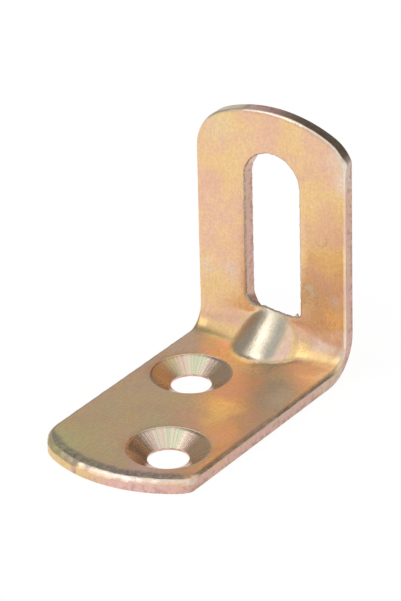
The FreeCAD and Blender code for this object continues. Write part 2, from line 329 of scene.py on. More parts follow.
@dataclass
class MeshParts:
    """Vertices and faces of a mesh in the making."""

    vertices: list[np.ndarray] = field(default_factory=list)
    bares: list[np.ndarray] = field(default_factory=list)
    spokes: list[np.ndarray] = field(default_factory=list)
    faces: list[tuple[int, ...]] = field(default_factory=list)
    finishes: list[int] = field(default_factory=list)
    total: int = 0

    def add(self, flat: np.ndarray, depth: np.ndarray | float, bare: np.ndarray | float = 0.0,
            spoke: np.ndarray | None = None) -> np.ndarray:
        """Adds vertices.

        Args:
            flat: X and Y of each vertex on the blank.
            depth: Depth under the inner face.
            bare: How much uncoated zinc shows there, from 0 to 1; below 0, how much painted shade darkens
                it.
            spoke: Direction of each vertex from a hole's middle and a number that tells the holes
                apart, for streaks down a countersink.

        Returns:
            The new vertices' numbers.
        """
        count = len(flat)
        depth = np.broadcast_to(np.asarray(depth, float), (count,))
        self.vertices.append(np.column_stack([flat, -depth]))
        self.bares.append(np.broadcast_to(np.asarray(bare, float), (count,)))
        self.spokes.append(np.zeros((count, 3)) if spoke is None else spoke)
        first = self.total
        self.total += count
        return np.arange(first, self.total)

    def depths(self, numbers: np.ndarray) -> np.ndarray:
        """Depth of some vertices under the inner face."""
        return -np.vstack(self.vertices)[numbers, 2]

    def flats(self, numbers: np.ndarray) -> np.ndarray:
        """X and Y of some vertices."""
        return np.vstack(self.vertices)[numbers, :2]

    def bridge(self, upper: np.ndarray, lower: np.ndarray, finish: Finish = Finish.FACE) -> None:
        """Joins two rings of vertices that run the same way with a band of quads.

        Args:
            upper: The ring on the metal's side or nearer the inner face.
            lower: The other ring.
            finish: What the band wears.
        """
        for one, two, three, four in zip(upper, lower, np.roll(lower, -1), np.roll(upper, -1)):
            self.faces.append((int(one), int(two), int(three), int(four)))
            self.finishes.append(finish.value)

    def as_mesh(self, name: str) -> bpy.types.Mesh:
        """Makes the mesh, with the place on the blank, the masks and the finish as attributes.

        Args:
            name: Name of the mesh.

        Returns:
            The mesh.
        """
        places = np.vstack(self.vertices)
        mesh = bpy.data.meshes.new(name)
        mesh.from_pydata(places.tolist(), [], self.faces)
        attributes = (
            ("blank", "FLOAT_VECTOR", "POINT", "vector", places.ravel()),
            ("bare", "FLOAT", "POINT", "value", np.concatenate(self.bares)),
            ("spoke", "FLOAT_VECTOR", "POINT", "vector", np.vstack(self.spokes).ravel()),
            ("finish", "INT", "FACE", "value", self.finishes),
        )
        for title, kind, domain, slot, values in attributes:
            mesh.attributes.new(title, kind, domain).data.foreach_set(slot, values)
        return mesh

    def fill(self, rings: list[np.ndarray], inner: np.ndarray, face_up: bool) -> None:
        """Fills the metal between an outline and its openings with triangles.

        Args:
            rings: Numbers of the vertices of each curve, the outline first.
            inner: Numbers of loose vertices inside.
            face_up: Whether the triangles face +Z.
        """
        everything = np.vstack(self.vertices)
        numbers = np.concatenate([*rings, inner])
        flat = everything[numbers, :2]
        edges = []
        first = 0
        for ring in rings:
            places = np.arange(first, first + len(ring))
            edges += list(zip(places.tolist(), np.roll(places, -1).tolist()))
            first += len(ring)
        corners = [Vector(place) for place in flat]
        found, _, triangles, origins, _, _ = delaunay_2d_cdt(corners, edges, [], 0, MERGE_DISTANCE)
        back = [numbers[origin[0]] if origin else -1 for origin in origins]
        middles = np.array([np.mean([found[i][:] for i in face], axis=0) for face in triangles])
        keep = inside(middles, flat[:len(rings[0])])
        first = len(rings[0])
        for ring in rings[1:]:
            keep &= ~inside(middles, flat[first:first + len(ring)])
            first += len(ring)
        for wanted, face in zip(keep, triangles):
            triangle = [int(back[i]) for i in face]
            if wanted and min(triangle) >= 0:
                self.faces.append(tuple(triangle if face_up else triangle[::-1]))
                self.finishes.append(Finish.FACE.value)


def inside(points: np.ndarray, polygon: np.ndarray) -> np.ndarray:
    """Whether points lie inside a polygon.

    Args:
        points: Points to test.
        polygon: Corners in order.

    Returns:
        True or False for each point.
    """
    result = np.zeros(len(points), bool)
    x, y = points.T
    for (x0, y0), (x1, y1) in zip(polygon, np.roll(polygon, -1, 0)):
        if y0 == y1:
            continue
        crosses = (y0 > y) != (y1 > y)
        result ^= crosses & (x < (x1 - x0) * (y - y0) / (y1 - y0) + x0)
    return result


def near_any(points: np.ndarray, curves: list[np.ndarray], distance: float) -> np.ndarray:
    """Whether points come close to any of some curves' points.

    Args:
        points: Points to test, taken a chunk at a time.
        curves: The curves.
        distance: How close counts.

    Returns:
        True or False for each point.
    """
    close = np.zeros(len(points), bool)
    for curve in curves:
        for start in range(0, len(points), CHUNK):
            part = points[start:start + CHUNK]
            gaps = np.linalg.norm(part[:, None] - curve[None], axis=2).min(1)
            close[start:start + CHUNK] |= gaps < distance
    return close


@dataclass(frozen=True)
class EndShape:
    """One rounded end of the strip: a wide arc and two corner arcs, in millimetres."""

    reach: float
    radius: float
    left: float
    right: float
    shear: float

    def curve(self, half: float) -> np.ndarray:
        """Points from the right side over the end to the left side, for an end along +Y.

        Args:
            half: Half the strip's width.

        Returns:
            The points, one row each.
        """
        rows = []
        base = self.reach - self.radius
        turns = []
        for corner, shear in ((self.right, self.shear), (self.left, 0.0)):
            across = half + shear - corner
            height = base + math.sqrt((self.radius - corner) ** 2 - across ** 2)
            start = math.acos((corner - shear) / corner)
            meet = math.acos(across / (self.radius - corner))
            rows.append(arc_points((across, height), corner, start, meet, ARC_POINTS))
            turns.append(meet)
        right, left = rows
        crown = arc_points((0.0, base), self.radius, turns[0], math.pi - turns[1], ARC_POINTS)
        left = (left * [-1.0, 1.0])[::-1]
        return np.vstack([right, crown[1:-1], left])


@dataclass
class Blank:
    """The flat blank with its rolled edges and openings, in millimetres.

    An end is given by the radii of its wide arc and of its left and right corners, and a roll by its
    width and its depth. A hole's place is its X and its distance from the leg's outer face. The slot's
    foot and corners have a value on the inner and one on the outer face, and its bulge and burr a
    middle and a reach. A zone is where a change starts and ends.
    """

    width: float = 23.8
    base_length: float = 43.4
    leg_height: float = 36.6
    leg_end: tuple[float, float, float] = (20.8, 6.6, 5.7)
    base_end: tuple[float, float, float] = (19.0, 6.0, 4.2)
    end_shear: float = 0.5
    corner_blur: float = 0.22
    corner_slack: float = 0.02
    rough_count: int = 4000
    outline_count: int = 960

    base_roll: Span = (2.6, 0.86)
    base_side_roll: Span = (0.85, 0.42)
    leg_top_roll: Span = (0.75, 0.42)
    leg_side_roll: Span = (0.42, 0.30)
    corner_roll: Span = (0.7, 0.35)
    corner_reach: float = 0.9
    corner_spread: float = 1.1
    roll_turn: float = 60.0
    roll_stages: tuple[float, ...] = (0.0, 0.26, 0.34, 0.50, 0.58, 1.0)
    roll_radii: tuple[float, ...] = (2.5, 2.5, 0.2, 0.2, 1.0, 1.0)
    roll_lines: int = 120
    roll_seeds: tuple[int, int] = (5, 6)
    roll_waves: tuple[int, ...] = (9, 17, 31, 57, 90)
    unevenness: float = 0.07
    outline_steps: int = 14
    end_zone: Span = (0.15, 0.85)
    bend_zone: Span = (-1.0, 1.0)

    end_bare: float = 0.9
    side_bare: float = 0.45
    end_kept: float = 0.9
    kept_zone: Span = (-5.0, -9.5)
    # Painted shade: a darker band on the base's rolls, strongest at the free end, for the dim room they
    # reflect.
    end_painted_shade: float = 0.85
    side_painted_shade: float = 0.55
    painted_shade_turn: Span = (0.0, 0.24)
    bare_turn: Span = (0.40, 0.52)
    coated_turn: Span = (0.62, 0.85)
    coated: float = 0.85

    hole_places: tuple[Span, ...] = ((-4.5, 15.1), (4.5, 33.6))
    hole_radius: float = 2.8
    sink_radius: float = 5.6
    sink_depth: float = 1.65
    sink_rim: Span = (0.14, 0.084)
    sink_bare: float = 0.56
    sink_count: int = 112
    rim_steps: int = 3
    cone_rows: int = 7
    land_rows: int = 2

    slot_half: float = 4.35
    slot_middle: float = 0.3
    slot_top: float = 30.5
    slot_foot: Span = (6.95, 5.0)
    slot_left_corner: Span = (1.8, 3.9)
    slot_right_corner: Span = (0.8, 2.6)
    slot_counts: tuple[int, int, int] = (64, 60, 24)
    slot_rim: float = 0.3
    # Painted shade: the slot's rolled rim is darkened all round.
    slot_painted_shade: float = 0.78
    slot_steps: int = 4
    slot_rise: float = 0.35
    foot_zone: Span = (2.2, 1.2)
    bulge: Span = (-1.6, 1.5)
    burr: Span = (3.8, 0.2)
    burr_share: float = 1.7
    ragged: Span = (9.0, 23.0)
    ragged_share: float = 0.2
    chips: float = 0.035
    chip_seed: int = 11
    chip_waves: tuple[int, ...] = (23, 41, 67, 88)

    wall_rows: int = 6
    foot_ease: float = 0.08
    fine_reach: float = 6.2
    pitches: Span = (0.22, 0.35)
    coarse_pitch: float = 0.9
    pitch_clearance: float = 0.6

    @property
    def half_bend(self) -> float:
        """Half the length of the bend, along the inner face."""
        return INNER_BEND * math.pi / 4

    @property
    def bend_start(self) -> float:
        """Distance of the bend's inner start from each outer face."""
        return SHEET + INNER_BEND

    def along_base(self, back: float) -> float:
        """Y on the blank of a place on the base, given its distance from the leg's outer face."""
        return -(back - self.bend_start) - self.half_bend

    def up_leg(self, height: float) -> float:
        """Y on the blank of a place on the leg, given its height above the base's underside."""
        return height - self.bend_start + self.half_bend

    def outline(self) -> Loop:
        """The strip's outline, its sharp corners slightly eased.

        Returns:
            The curve.
        """
        half = self.width / 2
        top = EndShape(self.up_leg(self.leg_height), *self.leg_end, self.end_shear).curve(half)
        low = EndShape(-self.along_base(self.base_length), *self.base_end, self.end_shear).curve(half)
        base = (low * [1.0, -1.0])[::-1]
        rough = Loop(np.vstack([top, base]), Edge.OUTLINE).resampled(self.rough_count)
        eased = Loop(rough.spread(self.corner_blur), Edge.OUTLINE)
        return eased.resampled(self.outline_count)

    def slot(self, foot: float, left: float, right: float, rise: float) -> Loop:
        """The slot's curve on one face, with the same number of points whatever its sizes.

        Args:
            foot: Height of its lower edge.
            left: Radius of its lower left corner.
            right: Radius of its lower right corner.
            rise: How far the lower edge bulges up where the rib was pressed through it.

        Returns:
            The curve.
        """
        half = self.slot_half
        west, east = self.slot_middle - half, self.slot_middle + half
        top, low = self.up_leg(self.slot_top) - half, self.up_leg(foot)
        round_count, straight_count, corner_count = self.slot_counts
        rows = (
            arc_points((self.slot_middle, top), half, 0.0, math.pi, round_count),
            np.linspace([west, top], [west, low + left], straight_count),
            arc_points((west + left, low + left), left, math.pi, 1.5 * math.pi, corner_count),
            np.linspace([west + left, low], [east - right, low], straight_count),
            arc_points((east - right, low + right), right, 1.5 * math.pi, 2 * math.pi, corner_count),
            np.linspace([east, low + right], [east, top], straight_count),
        )
        points = np.vstack([row[:-1] for row in rows])
        points[:, 1] += rise * self.torn(points[:, 0] - self.slot_middle) * self.at_foot(points[:, 1] - low)
        loop = Loop(points, Edge.OPENING)
        chips = ripple(loop.along, loop.length, self.chip_seed, self.chip_waves)
        return Loop(loop.points + self.chips * chips[:, None] * loop.inward(0.0), Edge.OPENING)

    def at_foot(self, height: np.ndarray) -> np.ndarray:
        """Share of the slot's raggedness at a height above its foot."""
        return ramp(*self.foot_zone, height)

    def torn(self, across: np.ndarray) -> np.ndarray:
        """The torn shape of the slot's foot: a bulge over the rib, a burr and fine teeth.

        Args:
            across: Distance from the slot's middle.

        Returns:
            The height at each place, as a share of the rise.
        """
        bulge, burr = (np.exp(-((across - middle) / reach) ** 2)
                       for middle, reach in (self.bulge, self.burr))
        first, second = self.ragged
        teeth = np.sin(first * across) * np.sin(second * across + 1.0)
        return bulge + self.burr_share * burr + self.ragged_share * teeth

    def roll_profile(self, steps: int) -> np.ndarray:
        """The rolled edge's profile: it turns slowly at first and ends at a steep edge.

        Args:
            steps: Bands across the roll.

        Returns:
            For each line of the profile its share of the width, of the depth and of the turn.
        """
        turns = np.linspace(0.0, math.radians(self.roll_turn), self.roll_lines + 1)
        radii = np.interp(turns / turns[-1], self.roll_stages, self.roll_radii)
        middles = (turns[1:] + turns[:-1]) / 2
        pieces = (radii[1:] + radii[:-1]) / 2 * np.diff(turns)
        run = np.concatenate([[0.0], np.cumsum(pieces * np.cos(middles))])
        fall = np.concatenate([[0.0], np.cumsum(pieces * np.sin(middles))])
        picks = np.linspace(0, self.roll_lines, steps + 1).astype(int)
        return np.stack([run / run[-1], fall / fall[-1], turns / turns[-1]], 1)[picks]

    def rolled(self, parts: MeshParts, loop: Loop, size: tuple[np.ndarray | float, ...],
               bare: np.ndarray | float, painted_shade: np.ndarray | float, reach: float, steps: int
               ) -> tuple[np.ndarray, np.ndarray]:
        """Adds a rolled edge along a curve, from the flat face down to the head of its wall.

        Args:
            parts: The mesh.
            loop: The curve.
            size: How far in from the curve the roll starts and how deep it ends, at each point.
            bare: Uncoated zinc shown on its steep part. Below 0 that part gets painted shade instead.
            painted_shade: Painted shade on its shallow part. Zinc shows less at the foot of such a roll.
            reach: Length over which a corner's turn is spread.
            steps: Bands across the roll.

        Returns:
            Numbers of the vertices where the roll starts and where it ends.
        """
        inward = loop.inward(reach)
        width, drop = np.broadcast_to(size[0], len(inward)), size[1]
        covered = self.coated * np.where(np.asarray(bare) > 0.0, painted_shade, 0.0)
        rings = []
        for run, fall, turn in self.roll_profile(steps):
            shift = (width * (1.0 - run))[:, None] * inward
            steep = ramp(*self.bare_turn, turn)
            shown = bare * steep * (1.0 - covered * ramp(*self.coated_turn, turn))
            # Painted shade on the shallow part of the roll, fading out where the steep part begins.
            shown = shown - painted_shade * ramp(*self.painted_shade_turn, turn) * (1.0 - steep)
            rings.append(parts.add(loop.points + shift, drop * fall, bare=shown))
        for upper, lower in zip(rings, rings[1:]):
            parts.bridge(upper, lower)
        return rings[0], rings[-1]

    def walled(self, parts: MeshParts, head: np.ndarray, front: np.ndarray, back: np.ndarray,
               rows: int) -> np.ndarray:
        """Adds a sheared wall below a ring, down to the outer face.

        Args:
            parts: The mesh.
            head: Vertices that the wall starts from.
            front: The wall's curve at the inner face.
            back: Its curve at the outer face.
            rows: Bands down the wall.

        Returns:
            Numbers of the vertices on the outer face.
        """
        start = parts.depths(head)
        previous = head
        for part in np.linspace(0, 1, rows + 1)[1:]:
            depth = start + (SHEET - self.foot_ease - start) * part
            current = parts.add(front + (back - front) * (depth / SHEET)[:, None], depth)
            parts.bridge(previous, current, Finish.SHEARED)
            previous = current
        last = parts.add(back + self.foot_ease * Loop.leftward(back), SHEET)
        parts.bridge(previous, last, Finish.SHEARED)
        return last

    def sunk(self, parts: MeshParts, centre: Span) -> tuple[np.ndarray, np.ndarray]:
        """Adds one countersunk screw hole.

        Args:
            parts: The mesh.
            centre: The hole's middle on the blank.

        Returns:
            Numbers of the vertices round its mouth on the inner face and on the outer face.
        """
        count = self.sink_count
        wide, bore = (Loop(arc_points(centre, radius, 0, 2 * math.pi, count + 1)[:-1], Edge.OPENING)
                      for radius in (self.sink_radius, self.hole_radius))
        mouth, head = self.rolled(parts, wide, self.sink_rim, self.sink_bare, 0.0, 0.0, self.rim_steps)
        top = parts.depths(head)
        away = (wide.points - centre) / self.sink_radius
        spoke = np.column_stack([away, np.full(count, centre[1] / self.bend_start)])
        previous = parts.add(wide.points, top, spoke=spoke)
        parts.bridge(head, previous, Finish.COUNTERSUNK)
        for part in np.linspace(0, 1, self.cone_rows + 1)[1:]:
            flat = wide.points + (bore.points - wide.points) * part
            current = parts.add(flat, top + (self.sink_depth - top) * part, spoke=spoke)
            parts.bridge(previous, current, Finish.COUNTERSUNK)
            previous = current
        return mouth, self.walled(parts, previous, bore.points, bore.points, self.land_rows)

    def slotted(self, parts: MeshParts) -> tuple[np.ndarray, np.ndarray]:
        """Adds the slot, whose foot slants down to the outer face.

        Args:
            parts: The mesh.

        Returns:
            Numbers of the vertices round its mouth on the inner face and on the outer face.
        """
        sizes = zip(self.slot_foot, self.slot_left_corner, self.slot_right_corner, (self.slot_rise, 0.0))
        front, behind = (self.slot(*size) for size in sizes)
        rim = (self.slot_rim, self.slot_rim)
        # The slot's rim gets painted shade on both its steep and its shallow part.
        mouth, head = self.rolled(parts, front, rim, -self.slot_painted_shade, self.slot_painted_shade, 0.0, self.slot_steps)
        return mouth, self.walled(parts, head, front.points, behind.points, self.wall_rows)

    def edged(self, parts: MeshParts) -> tuple[np.ndarray, np.ndarray]:
        """Adds the strip's rolled and sheared outer edge.

        Args:
            parts: The mesh.

        Returns:
            Numbers of the vertices round the inner face and round the outer face.
        """
        outline = self.outline()
        size, bare, painted_shade = self.outline_rolls(outline)
        start, head = self.rolled(parts, outline, size, bare, painted_shade, self.corner_spread, self.outline_steps)
        return start, self.walled(parts, head, outline.points, outline.points, self.wall_rows)

    def mesh(self) -> bpy.types.Mesh:
        """Builds the flat blank.

        Returns:
            A closed mesh in millimetres, with its masks as attributes.
        """
        parts = MeshParts()
        edges = [self.edged(parts)]
        edges += [self.sunk(parts, (across, self.along_base(back))) for across, back in self.hole_places]
        edges.append(self.slotted(parts))
        inner, outer = (list(rings) for rings in zip(*edges))
        for rings, pitch, depth, up in ((inner, self.pitches[0], 0.0, True),
                                        (outer, self.pitches[1], SHEET, False)):
            loose = self.loose_points(parts, rings, pitch)
            parts.fill(rings, parts.add(loose, depth), up)
        return parts.as_mesh("blank")

    def outline_rolls(self, outline: Loop) -> tuple[tuple[np.ndarray, ...], np.ndarray, np.ndarray]:
        """How the rolled edge changes round the outline.

        Args:
            outline: The outline.

        Returns:
            The roll's width and depth, the share of uncoated zinc and the share of painted shade at each
            point.
        """
        x, y = outline.points.T
        outward = -Loop.leftward(outline.spread(self.corner_spread))[:, 1]
        base_end, leg_top = (ramp(*self.end_zone, way * outward) for way in (-1, 1))
        on_base = 1.0 - ramp(*self.bend_zone, y)
        corner = sum(np.exp(-(np.linalg.norm(outline.points - place, axis=1) / self.corner_reach) ** 2)
                     for place in self.sheared_corners(outline))
        sizes = []
        for which, seed in enumerate(self.roll_seeds):
            side = self.base_side_roll[which] * on_base + self.leg_side_roll[which] * (1 - on_base)
            value = side + (self.base_roll[which] - side) * base_end
            value = value + (self.leg_top_roll[which] - side) * leg_top
            uneven = ripple(outline.along, outline.length, seed, self.roll_waves)
            sizes.append(value * (1 + self.unevenness * uneven) + self.corner_roll[which] * corner)
        at_end = np.clip(base_end + leg_top + corner, 0, 1)
        bare = self.side_bare + (self.end_bare - self.side_bare) * at_end
        bare = bare * (1.0 - self.end_kept * base_end * ramp(*self.kept_zone, x))
        painted_shade = on_base * (self.side_painted_shade + (self.end_painted_shade - self.side_painted_shade) * base_end) * (1.0 - corner)
        return tuple(sizes), bare, painted_shade

    def sheared_corners(self, outline: Loop) -> list[np.ndarray]:
        """The upper and the lower corner on the right, where the shear cut the end's arc short."""
        right = outline.points[outline.points[:, 0] > self.width / 2 - self.corner_slack]
        return [right[right[:, 1].argmax()], right[right[:, 1].argmin()]]

    def loose_points(self, parts: MeshParts, rings: list[np.ndarray], pitch: float) -> np.ndarray:
        """Points inside the metal, close together on the bend and rib and far apart elsewhere.

        Args:
            parts: The mesh.
            rings: Numbers of the vertices of each curve, the outline first.
            pitch: Distance between points on the bend.

        Returns:
            The points' X and Y.
        """
        curves = [parts.flats(ring) for ring in rings]
        half, reach, coarse = self.width / 2, self.fine_reach, self.coarse_pitch
        low, high = self.along_base(self.base_length), self.up_leg(self.leg_height)
        kept = []
        for first, last, step in ((-reach, reach, pitch), (low, -reach, coarse), (reach, high, coarse)):
            grid = np.stack(np.meshgrid(np.arange(-half, half, step), np.arange(first, last, step)), -1)
            grid = grid.reshape(-1, 2)
            grid = grid[inside(grid, curves[0])]
            for curve in curves[1:]:
                grid = grid[~inside(grid, curve)]
            kept.append(grid[~near_any(grid, curves, self.pitch_clearance * step)])
        return np.vstack(kept)


@dataclass
class Fold:
    """The press tool: a node tree that folds the blank and presses the rib, as the real one is made.

    Every size has a socket of its own. The rib's crest is measured from the corner between the outer
    faces, and its tilt and spread are what it gains for each millimetre from the base towards the leg.
    """

    sheet: float = SHEET
    inner_bend: float = INNER_BEND
    outer_bend: float = 6.1
    rib_middle: float = 0.3
    rib_crest: float = 6.8
    rib_tilt: float = 0.06
    rib_radius: float = 5.2
    rib_wall: float = 1.8
    rib_blend: float = 1.4
    rib_spread: float = 0.05
    rib_wobble: float = 0.16
    wobble_scale: float = 0.3
    dent_softness: float = 0.5
    flare: float = 1.4
    flare_reach: float = 10.5
    flare_length: float = 3.6056
    back_of_leg: float = BACK_OF_LEG

    @classmethod
    def sockets(cls) -> dict[str, str]:
        """The title of each size's socket, by the size's own name."""
        return {size.name: size.name.replace("_", " ").title() for size in fields(cls)}

    def tree(self) -> Tree:
        """Builds the node tree.

        Returns:
            The tree, with a socket for each size and for each finish.
        """
        tree = bpy.data.node_groups.new("press_tool", "GeometryNodeTree")
        inputs = [("Blank", "Geometry")]
        inputs += [(title, "Float") for title in self.sockets().values()]
        inputs += [(finish.title, "Material") for finish in Finish]
        for title, kind in inputs:
            tree.interface.new_socket(title, in_out="INPUT", socket_type="NodeSocket" + kind)
        tree.interface.new_socket("Bracket", in_out="OUTPUT", socket_type="NodeSocketGeometry")
        start, end = tree.nodes.new("NodeGroupInput"), tree.nodes.new("NodeGroupOutput")
        size = {name: Field(tree, start.outputs[title]) for name, title in self.sockets().items()}
        goal, lift = self.folded(tree, size)
        noted = tree.nodes.new("GeometryNodeStoreNamedAttribute")
        noted.inputs["Name"].default_value = "lift"
        tree.links.new(start.outputs["Blank"], noted.inputs["Geometry"])
        tree.links.new(lift.socket, next(s for s in noted.inputs if s.enabled and s.name == "Value"))
        moved = tree.nodes.new("GeometryNodeSetPosition")
        tree.links.new(noted.outputs[0], moved.inputs["Geometry"])
        tree.links.new(goal, moved.inputs["Position"])
        real = tree.nodes.new("GeometryNodeRealizeInstances")
        tree.links.new(moved.outputs[0], real.inputs[0])
        last = real.outputs[0]
        for finish in Finish:
            painted = tree.nodes.new("GeometryNodeSetMaterial")
            tree.links.new(last, painted.inputs["Geometry"])
            tree.links.new(start.outputs[finish.title], painted.inputs["Material"])
            tree.links.new(self.wears(tree, finish), painted.inputs["Selection"])
            last = painted.outputs[0]
        tree.links.new(last, end.inputs[0])
        return tree

    @staticmethod
    def wears(tree: Tree, finish: Finish) -> Socket:
        """Which faces have a finish, read from the blank's own attribute.

        Args:
            tree: The tree.
            finish: The finish.

        Returns:
            The selection.
        """
        stored = tree.nodes.new("GeometryNodeInputNamedAttribute")
        stored.data_type = "INT"
        stored.inputs["Name"].default_value = "finish"
        same = tree.nodes.new("FunctionNodeCompare")
        same.data_type = "INT"
        same.operation = "EQUAL"
        sockets = [socket for socket in same.inputs if socket.enabled]
        tree.links.new(stored.outputs["Attribute"], sockets[0])
        sockets[1].default_value = finish.value
        return same.outputs["Result"]

    def folded(self, tree: Tree, size: dict[str, Field]) -> tuple[Socket, Field]:
        """Where each vertex of the blank goes.

        Between the inner and the outer face a vertex keeps its share of the sheet. The rib and the
        flare then move it away from the corner line.

        Args:
            tree: The tree.
            size: The size sockets by name.

        Returns:
            The new position, and how far the rib alone pushed the inner face there.
        """
        position = tree.nodes.new("GeometryNodeInputPosition")
        across, along, height = split_xyz(tree, position.outputs[0])
        inner, outer = self.bent(size, along)
        depth = (-height / size["sheet"]).most(0.0).least(1.0)
        flat_y, flat_z = (near + (far - near) * depth for near, far in zip(inner, outer))
        flare = self.flared(size, across, along)
        waves = tree.nodes.new("ShaderNodeTexNoise")
        waves.inputs["Detail"].default_value = 1.0
        feed(tree, waves.inputs["Scale"], size["wobble_scale"])
        wobble = (Field(tree, waves.outputs[0]) - 0.5) * size["rib_wobble"]
        lift = self.pressed(size, across, inner, size["rib_radius"], size["rib_blend"], wobble - flare)
        push = lift + flare
        dent_radius = size["rib_radius"] - size["rib_wall"]
        dent_blend = size["rib_blend"] * size["dent_softness"]
        dent = self.pressed(size, across, outer, dent_radius, dent_blend, 0.0)
        shift = (push + (dent - push) * depth) * math.sqrt(0.5)
        joined = tree.nodes.new("ShaderNodeCombineXYZ")
        goal = (across, flat_y - shift + size["back_of_leg"], flat_z + shift)
        for value, socket in zip(goal, joined.inputs):
            feed(tree, socket, value * MILLIMETRE)
        return joined.outputs[0], lift

    @staticmethod
    def bent(size: dict[str, Field], along: Field) -> tuple[tuple[Field, Field], tuple[Field, Field]]:
        """Where the two faces of the strip lie once it is bent.

        The inner face follows the inside bend and the outer face its own wider bend.

        Args:
            size: The size sockets by name.
            along: Y of the vertex on the blank.

        Returns:
            Y and Z of the inner face, then of the outer face.
        """
        inner, outer = size["inner_bend"], size["outer_bend"]
        half_bend = inner * (math.pi / 4)
        start = size["sheet"] + inner
        before = (along + half_bend).least(0.0)
        beyond = (along - half_bend).most(0.0)
        share = ((along + half_bend) / (half_bend * 2.0)).most(0.0).least(1.0)
        turn = share * (math.pi / 2)
        inside_bend = (before - start + inner * turn.sine(), beyond + start - inner * turn.cosine())
        spare = outer - start
        first = (spare / outer).arcsine()
        rise = ((before + spare) / outer).most(0.0).arcsine()
        fall = ((spare - beyond) / outer).most(0.0).arcsine()
        turn = rise + share * (math.pi / 2 - first * 2.0) + first - fall
        outside_bend = ((before - start).least(-outer) + outer * turn.sine(),
                        (beyond + start).most(outer) - outer * turn.cosine())
        return inside_bend, outside_bend

    @staticmethod
    def flared(size: dict[str, Field], across: Field, along: Field) -> Field:
        """How far the bend is drawn out beside the rib.

        Args:
            size: The size sockets by name.
            across: X of the vertex on the blank.
            along: Its Y.

        Returns:
            The distance, most at the rib's middle and nothing past the flare's reach and length.
        """
        away = (across - size["rib_middle"]).step("ABSOLUTE")
        near = (1.0 - away / size["flare_reach"]).most(0.0)
        part = along / size["flare_length"]
        hill = (1.0 - part * part).most(0.0)
        return size["flare"] * near * hill * hill

    @staticmethod
    def pressed(size: dict[str, Field], across: Field, point: tuple[Field, Field], radius: Field,
                blend: Field, extra: Operand) -> Field:
        """How far the rib moves a face, along the line midway between the legs.

        Args:
            size: The size sockets by name.
            across: X of the vertex.
            point: Y and Z of the folded face there.
            radius: Radius of the rib on this face.
            blend: How softly the rib runs into this face.
            extra: Height added to the rib.

        Returns:
            The distance.
        """
        y, z = point
        depth = (z - y) * math.sqrt(0.5)
        up = (z + y) * math.sqrt(0.5)
        widened = (across - size["rib_middle"]) / (1.0 - up * size["rib_spread"])
        bulge = (radius * radius - widened * widened).most(0.0).root()
        height = size["rib_crest"] - size["rib_radius"] + bulge - size["rib_tilt"] * up
        return (height + extra - depth).step("SMOOTH_MAX", 0.0, blend)


class Shading:
    """A material in the making: its node tree and the few steps that every finish needs."""

    def __init__(self, name: str, metallic: float) -> None:
        """Starts a material.

        Args:
            name: Name of the material.
            metallic: Metallic of its shader.
        """
        self.material = bpy.data.materials.new(name)
        self.material.use_nodes = True
        self.tree = self.material.node_tree
        self.tree.nodes.clear()
        self.shader = self.tree.nodes.new("ShaderNodeBsdfPrincipled")
        self.shader.inputs["Metallic"].default_value = metallic
        output = self.tree.nodes.new("ShaderNodeOutputMaterial")
        self.tree.links.new(self.shader.outputs[0], output.inputs["Surface"])
        self.place = self.tree.nodes.new("ShaderNodeTexCoord").outputs["Object"]

    def film(self, group: Tree) -> tuple[Socket, Field]:
        """Places the node group of the passivate film and its painted light.

        Args:
            group: The group.

        Returns:
            Its tint and its drift.
        """
        node = self.tree.nodes.new("ShaderNodeGroup")
        node.node_tree = group
        self.tree.links.new(self.place, node.inputs["Place"])
        return node.outputs["Tint"], Field(self.tree, node.outputs["Drift"])

    def attribute(self, name: str, output: str = "Fac") -> Socket:
        """One of the mesh's own attributes.

        Args:
            name: Name of the attribute.
            output: Which output of the node is wanted.

        Returns:
            The socket.
        """
        node = self.tree.nodes.new("ShaderNodeAttribute")
        node.attribute_name = name
        return node.outputs[output]

    def mask(self, name: str) -> Field:
        """One of the mesh's own masks."""
        return Field(self.tree, self.attribute(name))

    def finish(self, colour: Socket, roughness: Field, height: Field, relief: float
               ) -> bpy.types.Material:
        """Joins the last sockets to the shader.

        Args:
            colour: Base colour.
            roughness: Roughness.
            height: Height of the fine relief, in tenths of a millimetre.
            relief: Strength of the relief.

        Returns:
            The material.
        """
        bump = self.tree.nodes.new("ShaderNodeBump")
        bump.inputs["Strength"].default_value = relief
        bump.inputs["Distance"].default_value = RELIEF_STEP
        feed(self.tree, bump.inputs["Height"], height)
        feed(self.tree, self.shader.inputs["Base Color"], colour)
        feed(self.tree, self.shader.inputs["Roughness"], roughness)
        feed(self.tree, self.shader.inputs["Normal"], bump.outputs[0])
        return self.material


@dataclass(frozen=True)
class Noise:
    """A noise texture: the size of its features, its octaves, its stretch and a shift in features.

    The unit is what a size of 1 comes to in the coordinates, which are metres on the object and have
    a scale of their own in the mesh's attributes.
    """

    size: float
    octaves: float = 3.0
    stretch: Place = (1.0, 1.0, 1.0)
    shift: Place = (0.0, 0.0, 0.0)
    unit: float = MILLIMETRE

    def over(self, tree: Tree, place: Socket, output: str = "Fac") -> Field:
        """Adds the texture.

        Args:
            tree: The tree.
            place: Its coordinates.
            output: Which output is wanted.

        Returns:
            The noise.
        """
        mapping = tree.nodes.new("ShaderNodeMapping")
        size = self.size * self.unit
        mapping.inputs["Scale"].default_value = [1.0 / (size * factor) for factor in self.stretch]
        mapping.inputs["Location"].default_value = self.shift
        tree.links.new(place, mapping.inputs["Vector"])
        node = tree.nodes.new("ShaderNodeTexNoise")
        node.inputs["Scale"].default_value = 1.0
        node.inputs["Detail"].default_value = self.octaves
        tree.links.new(mapping.outputs[0], node.inputs["Vector"])
        return Field(tree, node.outputs[output])


